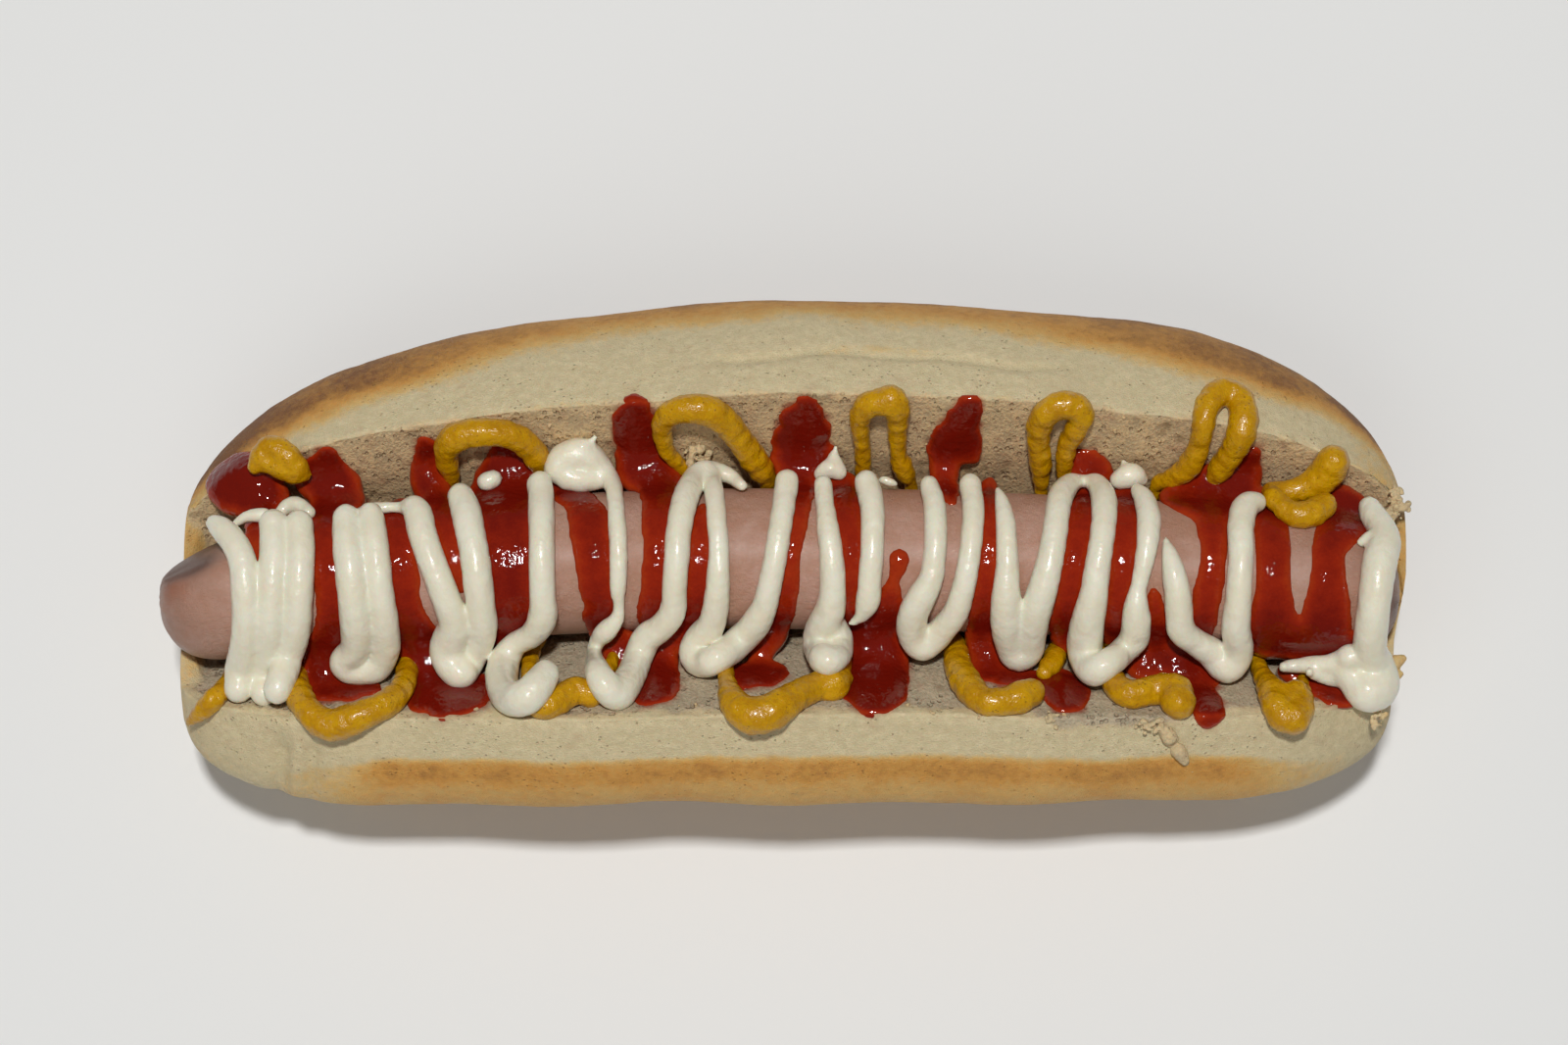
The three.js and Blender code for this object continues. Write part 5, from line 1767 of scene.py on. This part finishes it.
MAYONNAISE_ROUTES: Final = [
    [(218, 533, 0.6), (227, 540, 0.85), (239, 554, 0.9), (247, 574, 0.9), (250, 605, 0.92),
     (251, 640, 0.95), (247, 675, 1.02), (242, 702, 0.95)],
    [(279, 534, 0.95), (279, 560, 0.92), (277, 600, 0.95), (275, 640, 1.0), (270, 676, 0.98),
     (268, 706, 0.9)],
    [(305, 534, 0.9), (306, 562, 0.92), (304, 600, 0.97), (301, 640, 1.0), (293, 672, 1.0),
     (282, 703, 0.95)],
    [(283, 522, 0.4), (292, 515, 0.5), (303, 514, 0.55), (313, 521, 0.5)],
    [(238, 532, 0.3), (252, 525, 0.42), (268, 524, 0.55)],
    [(353, 527, 0.85), (354, 545, 0.95), (357, 575, 1.02), (360, 605, 1.05), (364, 640, 1.05),
     (362, 662, 1.0), (351, 674, 0.95), (354, 683, 0.85), (368, 685, 0.85), (384, 681, 0.95),
     (393, 662, 1.0), (391, 635, 0.95), (387, 603, 0.9), (384, 575, 0.9), (380, 545, 0.92),
     (378, 525, 0.85)],
    [(376, 519, 0.5), (392, 516, 0.4), (408, 516, 0.4), (424, 519, 0.85), (430, 542, 0.92),
     (438, 566, 0.92), (447, 590, 0.92), (456, 614, 0.95), (464, 636, 1.05), (458, 654, 1.15),
     (458, 670, 1.2), (468, 686, 1.1), (480, 682, 0.7), (488, 660, 0.9), (491, 640, 1.0), (490, 618, 0.95),
     (488, 600, 0.95), (486, 581, 0.97), (483, 560, 0.97), (479, 540, 0.97), (475, 520, 0.95),
     (470, 506, 0.85)],
    [(496, 490, 0.65), (503, 487, 0.6)],
    [(551, 494, 0.82), (552, 515, 0.82), (552, 545, 0.82), (552, 575, 0.84), (553, 605, 0.86),
     (553, 630, 0.95), (543, 647, 0.85), (526, 656, 0.8), (515, 674, 1.0), (512, 695, 1.08),
     (520, 711, 1.12), (536, 711, 1.12), (548, 699, 1.05), (557, 688, 0.9)],
    [(568, 478, 0.9), (576, 468, 1.05), (592, 463, 1.15), (604, 470, 1.05), (616, 480, 0.75),
     (625, 494, 0.62), (628, 515, 0.56), (630, 545, 0.6), (631, 575, 0.6), (630, 600, 0.55),
     (631, 616, 0.42), (629, 630, 0.5), (618, 643, 0.72), (611, 651, 0.6), (606, 664, 0.5),
     (608, 680, 0.8), (616, 697, 1.0), (630, 708, 1.05), (643, 690, 0.98), (652, 668, 0.98),
     (661, 649, 0.98), (674, 640, 0.9), (686, 624, 0.88), (688, 600, 0.83), (690, 572, 0.82),
     (692, 545, 0.82), (696, 520, 0.85), (702, 500, 0.86), (711, 485, 0.8), (722, 481, 0.75),
     (728, 499, 0.66), (731, 525, 0.66), (733, 555, 0.69), (733, 585, 0.76), (731, 612, 0.84),
     (726, 636, 0.9), (714, 652, 1.0), (709, 667, 1.05), (718, 676, 1.0), (738, 667, 0.97),
     (756, 653, 1.0), (770, 637, 0.98), (780, 618, 0.85), (785, 598, 0.8), (790, 574, 0.78),
     (794, 550, 0.77), (798, 525, 0.78), (801, 505, 0.78), (803, 491, 0.8)],
    [(578, 486, 0.85), (594, 488, 0.85), (610, 486, 0.8)],
    [(594, 455, 0.55), (603, 450, 0.3), (606, 444, 0.12)],
    [(584, 456, 0.5), (588, 448, 0.15)],
    [(728, 480, 0.7), (742, 483, 0.55), (757, 493, 0.4)],
    [(836, 482, 0.45), (847, 477, 0.7), (858, 480, 0.5), (851, 466, 0.45), (853, 455, 0.15)],
    [(840, 493, 0.6), (842, 515, 0.66), (846, 545, 0.76), (849, 575, 0.83), (850, 600, 0.88),
     (847, 622, 1.0), (837, 642, 1.0), (835, 660, 1.0), (843, 673, 0.95), (857, 668, 0.75),
     (858, 652, 0.8), (850, 638, 0.9)],
    [(884, 492, 0.82), (889, 508, 0.85), (891, 530, 0.79), (890, 560, 0.75), (888, 590, 0.77),
     (886, 612, 0.8), (880, 626, 0.5), (869, 635, 0.25)],
    [(901, 488, 0.35), (913, 491, 0.3)],
    [(948, 494, 0.62), (953, 510, 0.72), (955, 535, 0.74), (954, 565, 0.74), (950, 590, 0.78),
     (940, 609, 0.92), (932, 626, 0.97), (931, 645, 0.97), (940, 658, 1.0), (953, 651, 0.95),
     (965, 638, 0.88), (975, 625, 0.85), (981, 608, 0.78), (986, 588, 0.74), (990, 563, 0.71),
     (993, 535, 0.73), (993, 512, 0.74), (990, 494, 0.73)],
    [(1018, 498, 0.25), (1023, 511, 0.48), (1027, 535, 0.66), (1028, 560, 0.71), (1028, 585, 0.8),
     (1027, 610, 0.97), (1028, 640, 1.05), (1036, 667, 1.05), (1048, 664, 1.05), (1053, 642, 1.02),
     (1058, 620, 1.0), (1065, 598, 0.95), (1071, 574, 0.87), (1076, 549, 0.82), (1079, 525, 0.82),
     (1083, 505, 0.84), (1092, 493, 0.72), (1106, 489, 0.42), (1119, 493, 0.7), (1127, 507, 0.84),
     (1127, 530, 0.82), (1124, 556, 0.82), (1120, 580, 0.84), (1117, 604, 0.9), (1112, 626, 1.05),
     (1108, 648, 1.15), (1107, 668, 1.1), (1116, 683, 1.02), (1131, 676, 0.95), (1147, 663, 0.92),
     (1158, 650, 1.0), (1160, 632, 0.98), (1160, 616, 0.8), (1163, 597, 0.58), (1168, 575, 0.64),
     (1172, 550, 0.72), (1173, 526, 0.78), (1168, 508, 0.7), (1160, 499, 0.45)],
    [(1143, 488, 0.65), (1155, 484, 0.8), (1165, 488, 0.5)],
    [(1150, 476, 0.4), (1148, 469, 0.12)],
    [(1191, 549, 0.15), (1194, 562, 0.5), (1198, 580, 0.74), (1202, 602, 0.88), (1204, 625, 0.92),
     (1206, 643, 0.95), (1220, 654, 0.88), (1236, 665, 0.98), (1252, 679, 1.15), (1264, 663, 1.0),
     (1262, 640, 0.96), (1264, 615, 0.86), (1266, 590, 0.83), (1267, 560, 0.83), (1267, 535, 0.88),
     (1271, 517, 0.92), (1283, 511, 0.7)],
    [(1397, 517, 0.7), (1402, 525, 0.85), (1410, 538, 0.95), (1413, 552, 1.05), (1409, 570, 1.1),
     (1406, 590, 1.08), (1403, 615, 1.05), (1400, 640, 1.05), (1399, 662, 1.1), (1403, 682, 1.3),
     (1405, 700, 1.45), (1395, 705, 1.35), (1384, 695, 1.2), (1374, 682, 1.05), (1378, 670, 0.9)],
    [(1374, 672, 0.8), (1358, 677, 0.7), (1342, 677, 0.6), (1326, 678, 0.5), (1312, 679, 0.4)],
    [(1368, 688, 0.8), (1352, 690, 0.5), (1338, 684, 0.35)],
    [(1391, 551, 0.35), (1400, 547, 0.5)],
]

KETCHUP_STROKES: Final = [
    [(226, 492, 18), (240, 493, 28), (256, 500, 27), (270, 506, 20), (262, 540, 10), (262, 570, 6),
     (263, 600, 3)],
    [(246, 478, 22), (262, 482, 18)],
    [(316, 487, 16), (334, 488, 21), (350, 500, 17), (340, 515, 18), (331, 540, 15), (335, 580, 14),
     (338, 620, 14), (338, 655, 17), (326, 680, 20), (336, 702, 14), (360, 706, 11), (385, 702, 9)],
    [(402, 520, 12), (408, 540, 18), (408, 570, 15), (411, 600, 15), (417, 630, 15), (428, 655, 20),
     (437, 680, 22), (444, 708, 23), (470, 712, 19), (494, 704, 12)],
    [(436, 456, 10), (433, 475, 12), (440, 495, 16), (450, 520, 14), (458, 545, 11), (463, 570, 9),
     (470, 600, 6)],
    [(512, 470, 18), (532, 480, 24), (520, 500, 32), (517, 530, 28), (519, 560, 25), (520, 600, 23),
     (521, 630, 19), (508, 655, 13), (503, 675, 9)],
    [(578, 502, 14), (592, 512, 14), (602, 535, 17), (607, 570, 16), (610, 600, 15), (612, 630, 14),
     (624, 650, 9)],
    [(636, 658, 14), (636, 680, 10)],
    [(676, 655, 12), (673, 680, 18), (668, 704, 18)],
    [(645, 422, 14), (650, 440, 20), (652, 462, 21), (662, 482, 22), (673, 502, 18), (672, 530, 14),
     (671, 560, 12), (669, 600, 12), (662, 626, 12)],
    [(716, 512, 4), (714, 540, 9), (713, 570, 11), (711, 600, 12), (707, 630, 12), (692, 648, 9),
     (687, 664, 5)],
    [(750, 690, 14), (770, 691, 17), (790, 690, 13)],
    [(786, 645, 10), (781, 664, 10)],
    [(826, 419, 13), (820, 435, 20), (821, 456, 26), (812, 476, 19), (819, 497, 12), (816, 520, 9),
     (810, 550, 8), (807, 580, 8), (805, 605, 9), (800, 628, 10), (790, 646, 10)],
    [(858, 492, 9), (862, 510, 12), (866, 540, 12), (869, 570, 10), (869, 600, 8), (866, 625, 5)],
    [(910, 619, 11), (893, 645, 24), (896, 675, 29), (893, 700, 30), (880, 706, 21)],
    [(917, 572, 9), (914, 590, 5), (908, 607, 9)],
    [(987, 421, 12), (981, 433, 18), (974, 448, 22), (964, 464, 16), (966, 480, 11), (962, 494, 12),
     (972, 515, 5)],
    [(1009, 492, 7), (1010, 520, 8), (1010, 560, 9), (1007, 600, 10), (1003, 630, 12), (1006, 660, 12),
     (1008, 686, 13), (1032, 694, 9), (1062, 697, 14), (1082, 703, 21), (1092, 707, 16)],
    [(1106, 502, 7), (1104, 520, 11), (1101, 550, 12), (1096, 580, 12), (1091, 605, 12), (1086, 630, 11),
     (1091, 655, 9)],
    [(1107, 474, 13), (1123, 479, 11)],
    [(1150, 502, 11), (1151, 530, 12), (1148, 560, 12), (1144, 590, 11), (1140, 620, 9), (1137, 645, 9)],
    [(1164, 682, 13), (1186, 673, 14), (1210, 674, 19), (1224, 688, 15)],
    [(1220, 712, 13), (1231, 722, 16), (1235, 730, 12)],
    [(1177, 598, 4), (1180, 625, 8), (1180, 645, 11), (1178, 660, 11)],
    [(1273, 468, 12), (1263, 488, 22), (1240, 501, 20), (1215, 504, 12), (1194, 507, 8)],
    [(1190, 508, 8), (1208, 512, 12), (1228, 516, 16), (1250, 516, 16)],
    [(1292, 514, 12), (1325, 519, 13), (1358, 520, 15), (1388, 526, 11)],
    [(1250, 510, 16), (1238, 530, 13), (1239, 555, 11), (1237, 580, 11), (1233, 605, 12), (1228, 630, 13),
     (1226, 646, 10)],
    [(1294, 518, 13), (1299, 545, 14), (1299, 575, 14), (1299, 610, 16), (1300, 640, 21), (1322, 654, 13),
     (1350, 655, 13), (1375, 654, 10)],
    [(1364, 514, 20), (1384, 530, 14), (1368, 543, 17), (1357, 560, 14), (1357, 580, 15), (1356, 605, 17),
     (1353, 634, 22)],
    [(1312, 690, 6), (1330, 695, 10), (1350, 706, 14), (1370, 712, 12)],
]

# Torn bits of crumb: across, down, height above the bed and size, the last two in millimetres.
TUFTS: Final = [
    (1425, 506, 0.6, 1.3), (1430, 514, 0.7, 1.3), (1421, 524, 0.4, 1.1), (1411, 704, 0.4, 1.2),
    (1408, 726, 0.4, 1.1), (1403, 736, 0.3, 1.0),
    (714, 462, 1.0, 1.5), (706, 472, 0.8, 1.2), (722, 474, 0.9, 1.2),
    (1000, 732, 0.7, 0.9), (1046, 737, 0.8, 1.0), (1072, 734, 0.8, 1.0), (1090, 740, 0.9, 1.1),
    (1112, 745, 0.9, 1.2), (1132, 742, 0.9, 1.1), (1152, 748, 0.9, 1.2), (1168, 742, 0.9, 1.0),
    (1184, 742, 0.9, 1.1),
]
FLAPS: Final = [
    [(1188, 746, 0.8), (1195, 755, 1.1), (1202, 766, 1.0), (1209, 777, 0.6), (1216, 787, 0.3)],
    [(1402, 690, 1.0), (1412, 684, 1.2), (1422, 677, 1.0), (1431, 672, 0.5)],
    [(1406, 698, 0.9), (1418, 692, 0.9), (1428, 688, 0.5)],
]


@dataclass
class TornCrumb:
    """Bits of crumb pulled up where the bun was torn open, and the crumbs strewn near them."""

    flow: Flow
    specks_each: int = 24
    spread: tuple[float, float, float] = (0.5, 0.5, 0.25)  # of a tuft's size, each way
    speck_share: tuple[float, float] = (0.35, 0.7)
    speck_size: float = 0.6
    lowest: float = 33.0  # millimetres above the table
    flap_spacing: float = 2.0  # pixels
    flap_rise: float = 0.55
    flap_size: float = 1.15
    crusty_from: tuple[float, float] = (84.5, 87.0)  # along, where the tufts have crust on them
    seed: int = 7
    density: float = 140000.0  # crumbs for each square metre where they lie thickest
    smallest: float = 0.00012
    largest: float = 0.0004

    def build_tufts(self, bed: Bed) -> bpy.types.Object:
        """Makes the torn tufts and the hanging flaps.

        Args:
            bed: What they stand on.

        Returns:
            The finished piece.
        """
        chance = np.random.default_rng(self.seed)
        bed = Bed(np.maximum(bed.heights, self.lowest))
        beads = []
        for across, down, rise, size in TUFTS:
            middle = SIGHT.land(np.array([[across, down]], float), bed)[0] + [0.0, 0.0, rise]
            strewn = chance.normal(0.0, 1.0, (self.specks_each, 3)) * size * self.spread
            radius = chance.uniform(*self.speck_share, (self.specks_each, 1)) * size * self.speck_size
            beads.append(np.hstack([middle + strewn, radius]))
        for route in FLAPS:
            flap = through(route, self.flap_spacing)
            spots = SIGHT.land(flap[:, :2], bed) + [0.0, 0.0, self.flap_rise]
            beads.append(np.column_stack([spots, flap[:, 2] * self.flap_size]))
        piece = self.flow.body("torn_crumb", np.vstack(beads))
        spots = points_of(piece.data)
        crusty = smoothstep(*self.crusty_from, spots[:, 0]) * (spots[:, 1] < -10.0)
        tell(piece.data, "crumb", 0.6 - 0.5 * crusty)
        tell(piece.data, "bake", 0.32 * crusty)
        return dressed(piece, Slot.BUN)

    def build_strewn(self, bun: bpy.types.Object, tree: bpy.types.NodeTree) -> bpy.types.Object:
        """Strews loose crumbs near the cut edges.

        Args:
            bun: The bun, whose surface carries them.
            tree: The scattering tree.

        Returns:
            The finished piece.
        """
        mesh = bun.data.copy()
        mesh.name = "loose_crumbs"
        crumb = np.empty(len(mesh.vertices), np.float32)
        mesh.attributes["crumb"].data.foreach_get("value", crumb)
        spots = points_of(mesh)
        clumps = smoothstep(0.1, 0.7, cloudy(spots, 7.0, 201))
        upward = smoothstep(30.0, 38.0, spots[:, 2])
        tell(mesh, "strewn", clumps * upward * (0.02 + 0.98 * crumb))
        piece = piece_of(mesh)
        grow(piece, tree, {"Density": self.density, "Smallest": self.smallest, "Largest": self.largest,
                           "Seed": self.seed, "Finish": self.flow.finish})
        held = piece.data.attributes
        for label in ("bake", "deep", "stain", "near", "crumb"):
            if label in held:
                held.remove(held[label])
        tell(piece.data, "crumb", np.ones(len(piece.data.vertices)))
        return dressed(piece, Slot.BUN)


# ---- The studio ----


@dataclass
class Studio:
    """A plain pale floor, a pale surround, a small key light and a broad fill. Lengths are in metres."""

    floor_size: float = 3.0
    surround: float = 0.11
    key_power: float = 9.6
    key_size: float = 0.08
    key_place: tuple[float, float, float] = (-0.02, 0.12, 1.2)
    fill_power: float = 2.3
    fill_size: float = 0.9
    fill_place: tuple[float, float, float] = (-0.25, -0.7, 0.9)
    lit: tuple[float, float, float] = (0.0, 0.0, 0.03)  # the place that the lights face

    def build(self, floor_finish: bpy.types.Material) -> None:
        """Sets up the floor, the lights, the surround and the camera.

        Args:
            floor_finish: The floor's material.
        """
        half = self.floor_size / 2
        corners = [(-half, -half, 0.0), (half, -half, 0.0), (half, half, 0.0), (-half, half, 0.0)]
        mesh = bpy.data.meshes.new("floor")
        mesh.from_pydata(corners, [], [(0, 1, 2, 3)])
        mesh.materials.append(floor_finish)
        piece_of(mesh)
        self._light("key", self.key_power, self.key_size, self.key_place)
        fill = self._light("fill", self.fill_power, self.fill_size, self.fill_place)
        fill.visible_glossy = False
        world = bpy.data.worlds.new("surround")
        world.use_nodes = True
        sky = world.node_tree.nodes["Background"]
        sky.inputs["Color"].default_value = (1.0, 1.0, 1.0, 1.0)
        sky.inputs["Strength"].default_value = self.surround
        bpy.context.scene.world = world
        bpy.context.scene.view_settings.view_transform = "Standard"
        SIGHT.set_camera()

    def _light(self, name: str, power: float, size: float,
               place: tuple[float, float, float]) -> bpy.types.Object:
        """Adds a square light that faces the food.

        Args:
            name: The light's name.
            power: Its power in watts.
            size: The length of its side.
            place: Where it hangs.

        Returns:
            The light.
        """
        data = bpy.data.lights.new(name, "AREA")
        data.energy = power
        data.size = size
        light = bpy.data.objects.new(name, data)
        light.location = place
        light.rotation_euler = (Vector(self.lit) - Vector(place)).to_track_quat("-Z", "Y").to_euler()
        bpy.context.scene.collection.objects.link(light)
        return light


def main() -> None:
    """Builds the hot dog from the bread up, then the studio."""
    logging.basicConfig(level=logging.INFO, format="%(message)s")
    finishes = (
        BakedBread("baked bread", 0.62, glow_through=0.12, glow_depth=0.0015),
        CookedSkin("cooked casing", 0.4, coat=0.24, coat_roughness=0.4, glow_through=0.15, glow_depth=0.002),
        MustardSauce("mustard", 0.28, coat=0.2, glow_through=0.1),
        KetchupSauce("ketchup", 0.06, shine=0.36),
        CreamSauce("mayonnaise", 0.34, coat=0.5, coat_roughness=0.07, glow_through=0.3, glow_depth=0.0015),
        PaleFloor("pale floor", 0.9))
    patterns = Patterns()
    bread, casing, yellow, red, cream, floor_finish = (finish.material(patterns) for finish in finishes)
    sauce_tree = squeezed_tree()

    open_bread = Bed.of_bread()
    loaded = open_bread.with_sausage()
    mustard = Squeezed("squeezed_mustard", Slot.MUSTARD, 2.14, MUSTARD_ROUTES, ["mustard"],
                       Flow(sauce_tree, yellow, voxel=0.4, smoothing=2, lump_size=1.6, lump_height=0.6,
                            seed=2.0), uneven=0.13, ribs=0.05, rib_length=1.6)
    mayonnaise = Squeezed("squeezed_mayonnaise", Slot.MAYONNAISE, 2.28, MAYONNAISE_ROUTES,
                          ["mayonnaise_left", "mayonnaise_main", "mayonnaise_spur", "mayonnaise_right"],
                          Flow(sauce_tree, cream, voxel=0.4, smoothing=3, lump_size=2.6,
                               lump_height=0.08, seed=4.0))
    ketchup = Ketchup(KETCHUP_STROKES, Flow(sauce_tree, red, voxel=0.435, smoothing=5, lump_size=1.8,
                                            lump_height=0.12, seed=5.0))
    under_ketchup = loaded.filleted(ketchup.cleft)
    depth = ketchup.depth_on(under_ketchup)
    over_ketchup = Bed(under_ketchup.heights + np.clip(depth, 0.0, None))
    upper_mustard = replace(mustard, routes=UPPER_MUSTARD_ROUTES)
    mustard_beads = np.vstack([mustard.lay(open_bread), upper_mustard.lay(over_ketchup)])
    under_mayonnaise = over_ketchup.raised(mustard_beads, mustard.kept_off)

    bun = Bun().build(bread, depth)
    Sausage().build(casing)
    mustard.build(mustard_beads)
    ketchup.build(under_ketchup, loaded, depth)
    mayonnaise.build(mayonnaise.lay(under_mayonnaise))
    torn = TornCrumb(Flow(sauce_tree, bread, voxel=0.22, smoothing=1, lump_size=0.8, lump_height=0.4,
                          seed=3.0))
    torn.build_tufts(open_bread)
    torn.build_strewn(bun, scatter_tree())
    Studio().build(floor_finish)


if __name__ == "__main__":
    main()
